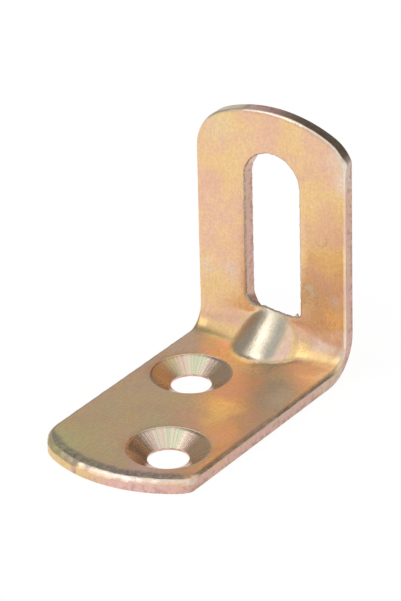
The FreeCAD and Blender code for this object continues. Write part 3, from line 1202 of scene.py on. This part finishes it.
def mixed(tree: Tree, share: Operand, first: Tint, second: Tint, blend: str = "MIX") -> Socket:
    """Mixes two colours.

    Args:
        tree: The tree.
        share: How much of the second shows.
        first: Colour or socket.
        second: Colour or socket.
        blend: Name of the blend type.

    Returns:
        The mixed colour.
    """
    node = tree.nodes.new("ShaderNodeMix")
    node.data_type = "RGBA"
    node.blend_type = blend
    for socket, value in zip((node.inputs[0], node.inputs[6], node.inputs[7]), (share, first, second)):
        feed(tree, socket, value)
    return node.outputs[2]


def grey(value: Field) -> Socket:
    """A grey colour of a given value.

    Args:
        value: The value.

    Returns:
        The colour.
    """
    node = value.tree.nodes.new("ShaderNodeCombineColor")
    for socket in node.inputs:
        value.tree.links.new(value.socket, socket)
    return node.outputs[0]


def distance(tree: Tree, place: Socket, spot: Place) -> Field:
    """Distance in metres from a spot.

    Args:
        tree: The tree.
        place: Coordinates in metres.
        spot: The spot, in millimetres.

    Returns:
        The distance.
    """
    node = tree.nodes.new("ShaderNodeVectorMath")
    node.operation = "DISTANCE"
    tree.links.new(place, node.inputs[0])
    node.inputs[1].default_value = [value * MILLIMETRE for value in spot]
    return Field(tree, node.outputs["Value"])


def on_leg(across: float, height: float) -> Place:
    """A place on the slotted leg's inner face, in millimetres."""
    return (across, BACK_OF_LEG - SHEET, height)


def on_base(across: float, back: float) -> Place:
    """A place on the base's upper face, in millimetres, given how far it is from the leg's outer face."""
    return (across, BACK_OF_LEG - back, SHEET)


GOLD = (0.93, 0.64, 0.27)
ROSE = (0.87, 0.53, 0.39)
PEACH = (0.88, 0.58, 0.335)
AMBER = (0.93, 0.53, 0.22)
OLIVE = (0.78, 0.66, 0.33)
LIME = (0.80, 0.84, 0.42)
LILAC = (0.88, 0.64, 0.54)
MINT = (0.74, 0.76, 0.52)
CREAM = (0.84, 0.74, 0.58)
HAZE = (0.74, 0.72, 0.68)
ZINC = (0.84, 0.79, 0.72)
DULL = (0.60, 0.53, 0.40)
SLATE = (0.48, 0.45, 0.37)
# Painted shade colour for the rolled edges and the slot's rim.
PAINTED_SHADE = (0.36, 0.34, 0.29)
COAL = (0.20, 0.17, 0.11)
WHEAT = (0.95, 0.88, 0.66)
BRASS = (0.86, 0.61, 0.28)
HONEY = (0.86, 0.58, 0.26)
SAND = (0.74, 0.60, 0.40)
MOSS = (0.70, 0.64, 0.38)
CLAY = (0.84, 0.56, 0.40)
FAWN = (0.76, 0.58, 0.38)
TANGERINE = (1.0, 0.60, 0.26)
SAFFRON = (1.0, 0.76, 0.32)
APRICOT = (1.0, 0.66, 0.36)
UMBER = (0.58, 0.44, 0.29)
BRONZE = (0.58, 0.47, 0.30)
DRAB = (0.62, 0.50, 0.36)
TAN = (0.66, 0.50, 0.34)
SALMON = (0.98, 0.66, 0.56)
STRAW = (0.88, 0.72, 0.42)
COPPER = (0.78, 0.54, 0.30)
PEAR = (0.74, 0.74, 0.36)
BISCUIT = (0.80, 0.58, 0.40)
SHELL = (0.92, 0.64, 0.46)
MARIGOLD = (1.0, 0.72, 0.34)
CORAL = (1.0, 0.58, 0.32)
CARAMEL = (0.86, 0.62, 0.40)
MELON = (1.0, 0.70, 0.34)
BUTTER = (1.0, 0.78, 0.36)
# Painted shade colour for the bend's right corner.
PAINTED_BEND_SHADE = (0.50, 0.42, 0.32)
KHAKI = (0.66, 0.60, 0.38)
BLUSH = (1.0, 0.76, 0.64)
OCHRE = (0.84, 0.58, 0.26)
PEARL = (1.0, 0.94, 0.86)
LEMON = (0.92, 0.92, 0.56)
IVORY = (0.92, 0.92, 0.76)
PAPAYA = (1.0, 0.60, 0.36)
FULL = (1.0, 1.0, 1.0)
MIDDLING = (0.30, 0.70)
CENTRAL = (0.35, 0.65)


@dataclass(frozen=True)
class Spot:
    """A soft round spot: a tint of its own, painted light or shade, or a scuff that rubs the film off."""

    place: Place
    reach: float
    strength: float
    tint: Colour = HAZE

    def share(self, tree: Tree, place: Socket, soft: Span) -> Field:
        """How much the spot shows.

        Args:
            tree: The tree.
            place: Coordinates in metres.
            soft: Where its border starts and ends, as shares of its reach.

        Returns:
            Its strength inside the border and nothing beyond.
        """
        first, last = (part * self.reach * MILLIMETRE for part in soft)
        return distance(tree, place, self.place).eased((first, last), (self.strength, 0.0))


@dataclass(frozen=True)
class Zone:
    """A zone with soft borders. Each limit names a value and where it starts and fully counts."""

    strength: float
    limits: tuple[Limit, ...]

    def share(self, values: dict[str, Field]) -> Field:
        """How much a place lies in the zone.

        Args:
            values: The values that the limits name.

        Returns:
            The share, from 0 to 1.
        """
        total: Field | None = None
        for name, start, full in self.limits:
            step = values[name].eased((start, full))
            total = step if total is None else total * step
        return total


Marks = tuple[tuple[Colour, tuple[Zone, ...]], ...]


def marked(tree: Tree, marks: Marks, values: dict[str, Field], tint: Tint) -> Socket:
    """Lays marks over a tint in their order, each as strong as the strongest of its zones.

    Args:
        tree: The tree.
        marks: The marks.
        values: The values that the limits of their zones name.
        tint: Colour or socket under them.

    Returns:
        The tint with the marks.
    """
    for colour, zones in marks:
        share: Operand = 0.0
        for zone in zones:
            share = (zone.share(values) * zone.strength).most(share)
        tint = mixed(tree, share, tint, colour)
    return tint


@dataclass(frozen=True)
class FilmAndPaintedLight:
    """The iridescent film all finishes share: drifting tints and soft spots, some of them painted light and
    shade.
    """

    drift: Noise = Noise(6.5)
    blush: Noise = Noise(3.2, 4.0, shift=(7.0, 2.0, 5.0))
    speck: Noise = Noise(0.9, shift=(5.0, 1.0, 3.0))
    wander: Noise = Noise(5.0, shift=(3.0, 9.0, 1.0))
    wander_reach: float = 8.0
    under_blooms: Marks = (
        (ROSE, (Zone(0.8, (("drift", 0.40, 0.64),)),)),
        (GOLD, (Zone(0.45, (("blush", 0.50, 0.70),)),)),
    )
    over_blooms: Marks = (
        (GOLD, (Zone(0.4, (("speck", 0.52, 0.72),)),)),
        (ROSE, (Zone(0.4, (("speck", 0.48, 0.30),)),)),
    )
    patch_border: Span = (0.25, 1.5)
    blooms: tuple[Spot, ...] = (
        Spot(on_leg(-7.0, 35.0), 3.4, 0.7, GOLD),
        Spot(on_leg(3.0, 33.4), 2.4, 0.8, GOLD),
        Spot(on_leg(-7.0, 27.0), 3.2, 0.6, GOLD),
        Spot(on_leg(7.5, 25.5), 4.5, 0.6, GOLD),
        Spot(on_leg(-8.5, 7.6), 3.4, 0.8, HONEY),
        Spot(on_leg(-9.5, 18.5), 4.5, 0.6, ROSE),
        Spot(on_leg(-6.5, 16.0), 2.2, 0.4, GOLD),
        Spot(on_leg(8.8, 21.5), 2.6, 0.4, ROSE),
        Spot(on_base(-8.5, 29.0), 3.2, 0.5, SAND),
        Spot(on_base(-0.5, 30.0), 3.0, 0.5, MOSS),
        Spot(on_leg(0.0, 31.8), 3.0, 0.7, ROSE),
        Spot(on_leg(10.0, 30.0), 2.6, 0.7, ROSE),
        Spot(on_leg(4.5, 5.5), 2.4, 0.8, ROSE),
        # Painted reflection: orange-brown where the leg's lower right mirrors the base.
        Spot(on_leg(8.5, 6.0), 2.6, 0.7, CLAY),
        Spot(on_leg(-7.0, 4.8), 2.6, 0.6, ROSE),
        Spot(on_base(0.5, 8.0), 5.5, 0.6, SAND),
        Spot(on_base(9.0, 8.0), 4.0, 0.6, FAWN),
        Spot(on_base(3.0, 12.5), 2.4, 0.4, AMBER),
        Spot(on_base(7.5, 24.5), 3.6, 0.7, TANGERINE),
        Spot(on_base(9.5, 31.0), 4.0, 0.8, AMBER),
        Spot(on_base(4.6, 22.2), 3.4, 0.9, SAFFRON),
        Spot(on_base(7.4, 28.4), 2.8, 0.9, APRICOT),
        Spot(on_base(10.0, 3.4), 2.8, 0.7, UMBER),
        Spot(on_base(9.0, 37.5), 3.0, 0.6, AMBER),
        Spot(on_base(7.4, 13.0), 2.8, 0.8, BRONZE),
        Spot(on_base(10.5, 16.0), 4.5, 0.6, DRAB),
        Spot(on_base(10.0, 23.0), 3.2, 0.6, TAN),
        Spot((-8.5, -20.7, 1.0), 4.5, 0.8, GOLD),
        Spot((5.0, -21.5, 1.0), 5.0, 0.8, SALMON),
        Spot((-9.0, 20.7, 34.2), 3.0, 0.6, STRAW),
        # Painted reflection: orange-brown where the leg's lower right mirrors the base.
        Spot(on_leg(7.0, 11.0), 3.6, 0.55, COPPER),
        Spot(on_base(-8.0, 37.5), 5.0, 0.7, OLIVE),
        Spot(on_base(-8.5, 39.0), 2.6, 0.6, PEAR),
        Spot(on_base(-6.5, 20.0), 3.0, 0.5, BISCUIT),
        Spot(on_base(-2.0, 39.5), 4.0, 0.6, OLIVE),
        Spot(on_base(-4.0, 25.0), 6.0, 0.3, OLIVE),
        Spot(on_base(-10.5, 8.5), 3.0, 0.7, SHELL),
        Spot(on_leg(9.4, 17.5), 2.8, 0.7, MARIGOLD),
        Spot(on_base(8.2, 26.3), 2.2, 0.8, CORAL),
        Spot(on_base(9.8, 14.2), 2.0, 0.6, CARAMEL),
        Spot(on_leg(10.6, 9.0), 2.0, 0.7, MELON),
        Spot(on_base(5.8, 21.6), 2.4, 0.7, BUTTER),
        # Painted shade along the bend's right corner.
        Spot(on_base(11.0, 3.0), 1.6, 0.7, PAINTED_BEND_SHADE),
        Spot(on_base(-8.0, 5.2), 2.2, 0.7, KHAKI),
        Spot(on_leg(10.2, 5.2), 1.9, 0.9, BLUSH),
        Spot((7.2, 18.4, 3.6), 1.6, 0.6, OCHRE),
        # Worn film and a painted highlight: a near-white spot on the bend's right edge.
        Spot((12.2, 18.6, 4.4), 1.4, 0.9, PEARL),
        Spot((14.5, 16.0, -1.5), 4.5, 1.0, LEMON),
        Spot((14.5, 23.0, 31.0), 4.5, 1.0, IVORY),
        Spot(on_base(9.0, 28.5), 1.8, 0.7, PAPAYA),
    )

    def tree(self) -> Tree:
        """Builds the film's node group.

        Returns:
            The group: coordinates in, tint and drift out.
        """
        tree = bpy.data.node_groups.new("film_and_painted_light", "ShaderNodeTree")
        tree.interface.new_socket("Place", in_out="INPUT", socket_type="NodeSocketVector")
        tree.interface.new_socket("Tint", in_out="OUTPUT", socket_type="NodeSocketColor")
        tree.interface.new_socket("Drift", in_out="OUTPUT", socket_type="NodeSocketFloat")
        place = tree.nodes.new("NodeGroupInput").outputs["Place"]
        end = tree.nodes.new("NodeGroupOutput")
        values = {name: getattr(self, name).over(tree, place) for name in ("drift", "blush", "speck")}
        tint = marked(tree, self.under_blooms, values, PEACH)
        tint = self.spotted(tree, place, tint)
        tint = marked(tree, self.over_blooms, values, tint)
        feed(tree, end.inputs["Tint"], tint)
        feed(tree, end.inputs["Drift"], values["drift"])
        return tree

    def spotted(self, tree: Tree, place: Socket, tint: Socket) -> Socket:
        """Lays the tinted spots and painted light over a tint, their borders broken up.

        Args:
            tree: The tree.
            place: Coordinates in metres.
            tint: The tint so far.

        Returns:
            The tint with the spots.
        """
        centred = tree.nodes.new("ShaderNodeVectorMath")
        centred.operation = "SUBTRACT"
        feed(tree, centred.inputs[0], self.wander.over(tree, place, "Color"))
        centred.inputs[1].default_value = (0.5, 0.5, 0.5)
        strayed = tree.nodes.new("ShaderNodeVectorMath")
        strayed.operation = "MULTIPLY_ADD"
        tree.links.new(centred.outputs[0], strayed.inputs[0])
        strayed.inputs[1].default_value = (self.wander_reach * MILLIMETRE,) * 3
        tree.links.new(place, strayed.inputs[2])
        for patch in self.blooms:
            tint = mixed(tree, patch.share(tree, strayed.outputs[0], self.patch_border), tint, patch.tint)
        return tint


@dataclass(frozen=True)
class PlatedFace:
    """The smooth faces of the bracket: satin plating with fine lines along the strip and a few scuffs.

    The press marks and painted light are groups of zones on the bend and rib, in the order they are laid.
    Across and along are places on the blank and lift is how far the rib pushed the inner face.
    """

    metallic: float = 0.9
    roughness: Span = (0.22, 0.36)
    rubbed_rough: float = 0.12
    bare_smooth: float = 0.08
    relief: float = 0.3
    grain: Noise = Noise(0.40, 5.0)
    lines: Noise = Noise(0.22, stretch=(1.0, 10.0, 1.0), unit=1.0)
    wisps: Noise = Noise(0.9, 4.0, stretch=(1.6, 1.0, 0.8), shift=(2.0, 4.0, 8.0))
    fleck: Span = (0.93, 1.05)
    line: Span = (0.96, 1.03)
    grain_height: float = 0.6
    line_height: float = 0.5
    bare_grain: Span = (0.25, 0.5)
    bare_range: Span = (0.7, 1.0)
    zinc_tinge: float = 0.3
    painted_shade_edge: Span = (-0.1, -0.7)
    painted_shade_strength: float = 0.9
    painted_shade_grain: Span = (0.36, 0.56)
    painted_shade_range: Span = (0.35, 1.0)
    inner_side: Span = (-1.6, -0.6)
    press_marks_and_painted_light: Marks = (
        (GOLD, (Zone(0.65, (("along", -2.3, -1.0), ("along", 1.1, -0.2), ("lift", 1.0, 0.4))),
                Zone(0.6, (("along", -2.7, -1.7), ("along", 3.3, 2.3), ("across", 0.5, 2.5),
                           ("lift", 0.0, 0.2), ("lift", 1.2, 0.4))))),
        (LIME, (Zone(0.6, (("along", -2.3, -1.98), ("along", -1.5, -1.82), ("across", -2.5, -4.5),
                           ("across", -11.0, -8.0))),)),
        (LIME, (Zone(0.5, (("along", -1.2, -2.0), ("lift", 0.03, 0.08), ("lift", 0.24, 0.14))),)),
        # A duller, darker tone over the rib up to just right of its crest.
        (DULL, (Zone(0.85, (("across", 3.8, 2.2), ("lift", 0.05, 0.3))),)),
        (LILAC, (Zone(0.8, (("across", 2.7, 3.6), ("lift", 0.1, 0.45))),)),
        # Painted shade: a slate stripe just right of the rib's crest, where the rib reflects a dimmer part
        # of the room.
        (SLATE, (Zone(0.95, (("across", 1.1, 1.8), ("across", 3.3, 2.6), ("lift", 0.3, 1.0))),)),
        # Partly a paler film, partly a painted highlight: a cream band along the rib's crest.
        (CREAM, (Zone(0.85, (("across", -1.7, -0.6), ("across", 2.3, 1.2), ("lift", 0.04, 0.3))),)),
    )
    scuffs: tuple[Spot, ...] = (
        Spot(on_leg(6.3, 11.6), 1.7, 0.9),
        Spot(on_leg(-6.7, 11.6), 2.0, 0.8),
        Spot(on_leg(-10.3, 11.2), 1.8, 0.7),
        Spot(on_leg(10.2, 11.2), 1.5, 0.7),
        Spot(on_base(1.4, 10.5), 1.6, 0.7),
        Spot(on_base(11.4, 19.0), 0.9, 0.9),
    )
    wisp_span: Span = (0.44, 0.60)
    wisp_grain: Span = (0.3, 0.5)
    scratch: Place = on_leg(8.1, 19.9)
    scratch_radius: float = 1.0
    scratch_half: float = 0.2
    scratch_strength: float = 0.55
    scratch_arc: Span = (-16.6, -15.2)
    scratch_slant: float = 0.5

    def build(self, film: Tree) -> bpy.types.Material:
        """Builds the material.

        Args:
            film: The node group of the passivate film and its painted light.

        Returns:
            The material.
        """
        shading = Shading("plated_face", self.metallic)
        tree = shading.tree
        tint, drift = shading.film(film)
        grain = self.grain.over(tree, shading.place)
        blank = shading.attribute("blank", "Vector")
        lines = self.lines.over(tree, blank)
        across, along, height = split_xyz(tree, blank)
        lift = shading.mask("lift") * height.eased(self.inner_side)
        tint = marked(tree, self.press_marks_and_painted_light, {"across": across, "along": along, "lift": lift}, tint)
        stored = shading.mask("bare")
        bare = stored.most(0.0) * grain.eased(self.bare_grain, self.bare_range)
        tint = mixed(tree, bare, tint, mixed(tree, self.zinc_tinge, ZINC, tint))
        # Painted shade: where the stored mask is below 0, the tint is darkened on the rolls and the slot's
        # rim.
        painted_shade = stored.eased(self.painted_shade_edge, (0.0, self.painted_shade_strength))
        tint = mixed(tree, painted_shade * grain.eased(self.painted_shade_grain, self.painted_shade_range), tint, PAINTED_SHADE)
        flecks = grain.eased(MIDDLING, self.fleck) * lines.eased(MIDDLING, self.line)
        tint = mixed(tree, 1.0, tint, grey(flecks), "MULTIPLY")
        rubbed = self.rubbed(shading, grain)
        tint = mixed(tree, rubbed, tint, HAZE)
        tint = mixed(tree, self.scratched(shading), tint, SLATE)
        rough = drift.eased(CENTRAL, self.roughness) + rubbed * self.rubbed_rough - bare * self.bare_smooth
        height = grain * self.grain_height + lines * self.line_height
        return shading.finish(tint, rough, height, self.relief)

    def scratched(self, shading: Shading) -> Field:
        """A thin curved scratch on the leg.

        Args:
            shading: The material in the making.

        Returns:
            The mask: the lower part of a thin ring.
        """
        across, _, up = split_xyz(shading.tree, shading.place)
        ring = distance(shading.tree, shading.place, self.scratch).gap(self.scratch_radius * MILLIMETRE)
        start, full = (value * MILLIMETRE for value in self.scratch_arc)
        lower = (across * self.scratch_slant - up).eased((start, full))
        return ring.eased((0.0, self.scratch_half * MILLIMETRE), (self.scratch_strength, 0.0)) * lower

    def rubbed(self, shading: Shading, grain: Field) -> Field:
        """How much the film is rubbed off.

        Args:
            shading: The material in the making.
            grain: Fine noise that breaks the marks up.

        Returns:
            The mask.
        """
        tree = shading.tree
        total: Operand = 0.0
        for scuff in self.scuffs:
            total = scuff.share(tree, shading.place, (0.0, 1.0)).most(total)
        wisps = self.wisps.over(tree, shading.place)
        return total * wisps.eased(self.wisp_span) * grain.eased(self.wisp_grain)


@dataclass(frozen=True)
class ShearedEdge:
    """The cut edges of the sheet: a smooth sheared band over a rough torn one, with painted shade on walls
    facing right.
    """

    metallic: float = 0.85
    roughness: Span = (0.34, 0.5)
    relief: float = 0.4
    tear: Noise = Noise(0.7, 6.0)
    torn_from: float = 1.4
    torn_gain: float = 0.12
    torn_span: Span = (0.45, 0.62)
    torn_share: float = 0.5
    scores: Noise = Noise(0.30, stretch=(1.0, 1.0, 5.0), unit=1.0)
    score_share: float = 0.22
    score_height: float = 0.6
    smooth_share: float = 0.5
    smooth: Colour = (0.78, 0.43, 0.47)
    torn: Colour = (0.44, 0.31, 0.23)
    # Painted shade: walls that face right, the strip's right side and the slot's left wall, are multiplied
    # by this grey.
    side: Colour = (0.82, 0.84, 0.82)
    shaded_strip_side: Span = (11.3, 11.75)
    shaded_slot_side: float = -4.05
    shaded_slot_side_reach: Span = (0.7, 0.2)
    end_border: Span = (0.4, 1.3)
    ends: tuple[Spot, ...] = (
        Spot((7.5, 20.7, 34.6), 8.0, 0.85, COAL),
        Spot((-8.0, 20.7, 35.0), 5.0, 0.7, WHEAT),
        Spot((-7.0, -20.5, 1.0), 8.0, 0.9, BRASS),
    )

    def build(self, film: Tree) -> bpy.types.Material:
        """Builds the material.

        Args:
            film: The node group of the passivate film and its painted light.

        Returns:
            The material.
        """
        shading = Shading("sheared_edge", self.metallic)
        tree = shading.tree
        tint, _ = shading.film(film)
        blank = shading.attribute("blank", "Vector")
        across, _, height = split_xyz(tree, blank)
        tear = self.tear.over(tree, shading.place)
        scores = self.scores.over(tree, blank)
        torn = (tear + (-height - self.torn_from) * self.torn_gain).eased(self.torn_span)
        tint = mixed(tree, self.smooth_share, tint, self.smooth)
        streak = scores.eased(CENTRAL, (0.0, self.score_share))
        tint = mixed(tree, (torn * self.torn_share).most(streak), tint, self.torn)
        # Painted shade on the walls that face right.
        side = across.eased(self.shaded_strip_side).most(across.gap(self.shaded_slot_side).eased(self.shaded_slot_side_reach))
        tint = mixed(tree, side, tint, self.side, "MULTIPLY")
        for end in self.ends:
            share = end.share(tree, shading.place, self.end_border) * (1.0 - side)
            tint = mixed(tree, share, tint, end.tint)
        rough = torn.eased((0.0, 1.0), self.roughness)
        return shading.finish(tint, rough, tear + scores * self.score_height, self.relief)


@dataclass(frozen=True)
class CountersunkWall:
    """The countersinks: cones with pale bands and fine streaks down the slope.

    The bands stand where the painted light way points, by its X and Y on the blank; the other side is brown.
    """

    metallic: float = 0.92
    roughness: Span = (0.20, 0.28)
    relief: float = 0.25
    bands: Noise = Noise(0.34, 2.0, shift=(3.0, 6.0, 0.0), unit=1.0)
    band_marks: Marks = (
        (LILAC, (Zone(0.8, (("band", 0.52, 0.62),)),)),
        (MINT, (Zone(0.8, (("band", 0.48, 0.40),)),)),
    )
    streaks: Noise = Noise(0.05, unit=1.0)
    streak: Span = (0.80, 1.04)
    grain: Noise = Noise(0.35, 4.0)
    grain_height: float = 0.4
    brown: Colour = (0.53, 0.37, 0.25)
    brown_share: float = 0.6
    # Painted light and shade: pale with bands on the side this points to, brown on the other, for the cone's
    # own reflection.
    painted_light_way: Span = (-0.57, 0.82)
    painted_light_part: Span = (0.5, 0.88)

    def build(self, film: Tree) -> bpy.types.Material:
        """Builds the material.

        Args:
            film: The node group of the passivate film and its painted light.

        Returns:
            The material.
        """
        shading = Shading("countersunk_wall", self.metallic)
        tree = shading.tree
        coat, _ = shading.film(film)
        spoke = shading.attribute("spoke", "Vector")
        streaks = self.streaks.over(tree, spoke)
        grain = self.grain.over(tree, shading.place)
        tint = marked(tree, self.band_marks, {"band": self.bands.over(tree, spoke)}, CREAM)
        across, along, _ = split_xyz(tree, spoke)
        # Painted shade: the wall away from that side turns brown.
        toward = along * self.painted_light_way[1] + across * self.painted_light_way[0]
        brown = mixed(tree, self.brown_share, coat, self.brown)
        tint = mixed(tree, toward.eased(self.painted_light_part), brown, tint)
        tint = mixed(tree, 1.0, tint, grey(streaks.eased(MIDDLING, self.streak)), "MULTIPLY")
        rough = grain.eased(CENTRAL, self.roughness)
        return shading.finish(tint, rough, streaks + grain * self.grain_height, self.relief)


def placed(name: str, data: bpy.types.ID) -> bpy.types.Object:
    """Puts an object in the scene.

    Args:
        name: Its name.
        data: Its mesh, lamp or camera.

    Returns:
        The object.
    """
    item = bpy.data.objects.new(name, data)
    bpy.context.scene.collection.objects.link(item)
    return item


@dataclass
class Bracket:
    """The whole bracket: its blank, the press tool that folds it, and its finishes."""

    blank: Blank = field(default_factory=Blank)
    fold: Fold = field(default_factory=Fold)
    sharp_angle: float = 38.0

    def build(self) -> bpy.types.Object:
        """Builds, folds and dresses the bracket, in place of its plain solid.

        Returns:
            The finished piece.
        """
        film = FilmAndPaintedLight().tree()
        finishes = {Finish.FACE: PlatedFace(), Finish.SHEARED: ShearedEdge(),
                    Finish.COUNTERSUNK: CountersunkWall()}
        flat = placed("blank", self.blank.mesh())
        press = flat.modifiers.new("press", "NODES")
        press.node_group = self.fold.tree()
        self.set_sockets(press, {finish: look.build(film) for finish, look in finishes.items()})
        mesh = self.baked(flat)
        bpy.data.objects.remove(flat)
        piece = placed("pressed_bracket", mesh)
        mesh.shade_smooth()
        mesh.set_sharp_from_angle(angle=math.radians(self.sharp_angle))
        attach(piece, BODY)
        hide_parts(NODE)
        log.info("pressed_bracket: %d vertices, %d faces", len(mesh.vertices), len(mesh.polygons))
        return piece

    def set_sockets(self, press: bpy.types.Modifier, finishes: dict[Finish, bpy.types.Material]) -> None:
        """Gives the press its sizes and finishes, each by its socket's identifier.

        Args:
            press: The modifier.
            finishes: Material of each finish.
        """
        values = {title: getattr(self.fold, name) for name, title in self.fold.sockets().items()}
        values |= {finish.title: material for finish, material in finishes.items()}
        for item in press.node_group.interface.items_tree:
            if item.item_type == "SOCKET" and item.in_out == "INPUT" and item.name in values:
                press[item.identifier] = values[item.name]

    @staticmethod
    def baked(flat: bpy.types.Object) -> bpy.types.Mesh:
        """The folded result as a plain mesh, with the modifier taken off.

        Args:
            flat: The blank's object.

        Returns:
            The mesh.
        """
        depsgraph = bpy.context.evaluated_depsgraph_get()
        mesh = bpy.data.meshes.new_from_object(flat.evaluated_get(depsgraph),
                                               preserve_all_data_layers=True, depsgraph=depsgraph)
        flat.modifiers.clear()
        mesh.name = "pressed_bracket"
        return mesh


@dataclass(frozen=True)
class SoftBox:
    """A rectangular studio lamp that faces the bracket."""

    name: str
    toward: Place
    long_axis: Place
    size: Span
    radiance: float
    colour: Colour = FULL
    distance: float = 0.6

    def build(self, centre: Vector) -> bpy.types.Object:
        """Adds the lamp.

        Args:
            centre: What it faces.

        Returns:
            The lamp's object.
        """
        lamp = bpy.data.lights.new(self.name, "AREA")
        lamp.shape = "RECTANGLE"
        lamp.size, lamp.size_y = self.size
        lamp.energy = self.radiance * math.pi * self.size[0] * self.size[1]
        lamp.color = self.colour
        back = Vector(self.toward).normalized()
        along = Vector(self.long_axis)
        along = (along - back * along.dot(back)).normalized()
        item = placed(self.name, lamp)
        turn = Matrix((along, back.cross(along), back)).transposed().to_4x4()
        item.matrix_world = Matrix.Translation(centre + back * self.distance) @ turn
        return item


@dataclass
class Studio:
    """A pale floor, soft lamps and a dim room, with the camera.

    The room's parts are zones of directions, each with its own strength. Along points from the free
    end to the leg, and rightward leans to the right of the photograph.
    """

    centre: Place = (0.0, 0.0, 0.012)
    aim: Place = (-0.00165, 0.00520, 0.01444)
    azimuth: float = 34.886
    elevation: float = 27.131
    roll: float = -1.449
    distance: float = 0.51253
    lens: float = 230.44
    sensor: float = 36.0
    clip: Span = (0.01, 20.0)
    floor_half: float = 2.5
    floor_paint: Colour = (0.88, 0.88, 0.88)
    floor_glow: float = 1.04
    floor_shown: float = 0.9
    room_level: float = 0.48
    room_lean: float = 0.35
    room_parts: tuple[Zone, ...] = (
        Zone(0.12, (("along", 0.35, 0.65), ("across", -0.45, -0.15))),
        Zone(0.38, (("across", -0.65, -0.85),)),
        Zone(0.14, (("along", -0.1, 0.15), ("up", 0.62, 0.76))),
        Zone(0.85, (("along", -0.35, -0.65), ("up", 0.62, 0.50))),
        Zone(0.74, (("rightward", 0.0, 0.2), ("along", 0.68, 0.50))),
        Zone(0.95, (("up", 0.82, 0.90), ("across", -0.48, -0.36))),
    )
    boxes: tuple[SoftBox, ...] = (
        SoftBox("key_light", (-0.48, -0.39, 0.785), (0.0, 0.8, 0.6), (0.40, 0.32), 1.15),
        SoftBox("fill_light", (0.68, -0.35, 0.64), (0.0, 1.0, 0.0), (0.4, 0.3), 0.25),
    )

    def build(self) -> None:
        """Adds the floor, the lamps, the room's light and the camera."""
        self.floor()
        for box in self.boxes:
            box.build(Vector(self.centre))
        self.room()
        self.camera()
        bpy.context.scene.view_settings.view_transform = "Standard"

    def floor(self) -> None:
        """Adds the pale floor, which is white to the camera and in reflections and keeps a faint shadow."""
        mesh = bpy.data.meshes.new("floor")
        half = self.floor_half
        corners = [(-half, -half, 0), (half, -half, 0), (half, half, 0), (-half, half, 0)]
        mesh.from_pydata(corners, [], [(0, 1, 2, 3)])
        item = placed("floor", mesh)
        material = bpy.data.materials.new("pale_floor")
        material.use_nodes = True
        tree = material.node_tree
        tree.nodes.clear()
        kinds = ("ShaderNodeBsdfDiffuse", "ShaderNodeEmission", "ShaderNodeMixShader", "ShaderNodeLightPath",
                 "ShaderNodeOutputMaterial")
        paint, glow, mix, path, output = (tree.nodes.new(kind) for kind in kinds)
        feed(tree, paint.inputs["Color"], self.floor_paint)
        feed(tree, glow.inputs["Strength"], self.floor_glow)
        camera, glossy, through = (Field(tree, path.outputs[f"Is {ray} Ray"])
                                   for ray in ("Camera", "Glossy", "Transmission"))
        feed(tree, mix.inputs[0], camera.most(glossy).most(through) * self.floor_shown)
        tree.links.new(paint.outputs[0], mix.inputs[1])
        tree.links.new(glow.outputs[0], mix.inputs[2])
        tree.links.new(mix.outputs[0], output.inputs["Surface"])
        mesh.materials.append(material)

    def room(self) -> None:
        """Lights the room dimly: mid grey walls, a darker ceiling and a darker left side."""
        world = bpy.data.worlds.new("room")
        world.use_nodes = True
        tree = world.node_tree
        tree.nodes.clear()
        coordinates = tree.nodes.new("ShaderNodeTexCoord")
        across, along, up = split_xyz(tree, coordinates.outputs["Generated"])
        values = {"across": across, "along": along, "up": up, "rightward": across - along * self.room_lean}
        level: Operand = self.room_level
        for part in self.room_parts:
            share = part.share(values)
            level = share * part.strength + (1.0 - share) * level
        background = tree.nodes.new("ShaderNodeBackground")
        feed(tree, background.inputs["Color"], FULL)
        feed(tree, background.inputs["Strength"], level)
        output = tree.nodes.new("ShaderNodeOutputWorld")
        tree.links.new(background.outputs[0], output.inputs["Surface"])
        bpy.context.scene.world = world

    def camera(self) -> None:
        """Adds the camera at the photograph's viewing angle."""
        data = bpy.data.cameras.new("camera")
        data.lens = self.lens
        data.sensor_width = self.sensor
        data.clip_start, data.clip_end = self.clip
        turn, tip, lean = (math.radians(angle) for angle in (self.azimuth, self.elevation, self.roll))
        back = Vector((math.sin(turn) * math.cos(tip), -math.cos(turn) * math.cos(tip), math.sin(tip)))
        level = Vector((math.cos(turn), math.sin(turn), 0.0))
        upright = back.cross(level)
        right = level * math.cos(lean) + upright * math.sin(lean)
        axes = Matrix((right, back.cross(right), back)).transposed().to_4x4()
        item = placed("camera", data)
        item.matrix_world = Matrix.Translation(Vector(self.aim) + back * self.distance) @ axes
        bpy.context.scene.camera = item


def main() -> None:
    """Builds the bracket and its studio."""
    logging.basicConfig(level=logging.INFO, format="%(message)s")
    Bracket().build()
    Studio().build()


if __name__ == "__main__":
    main()
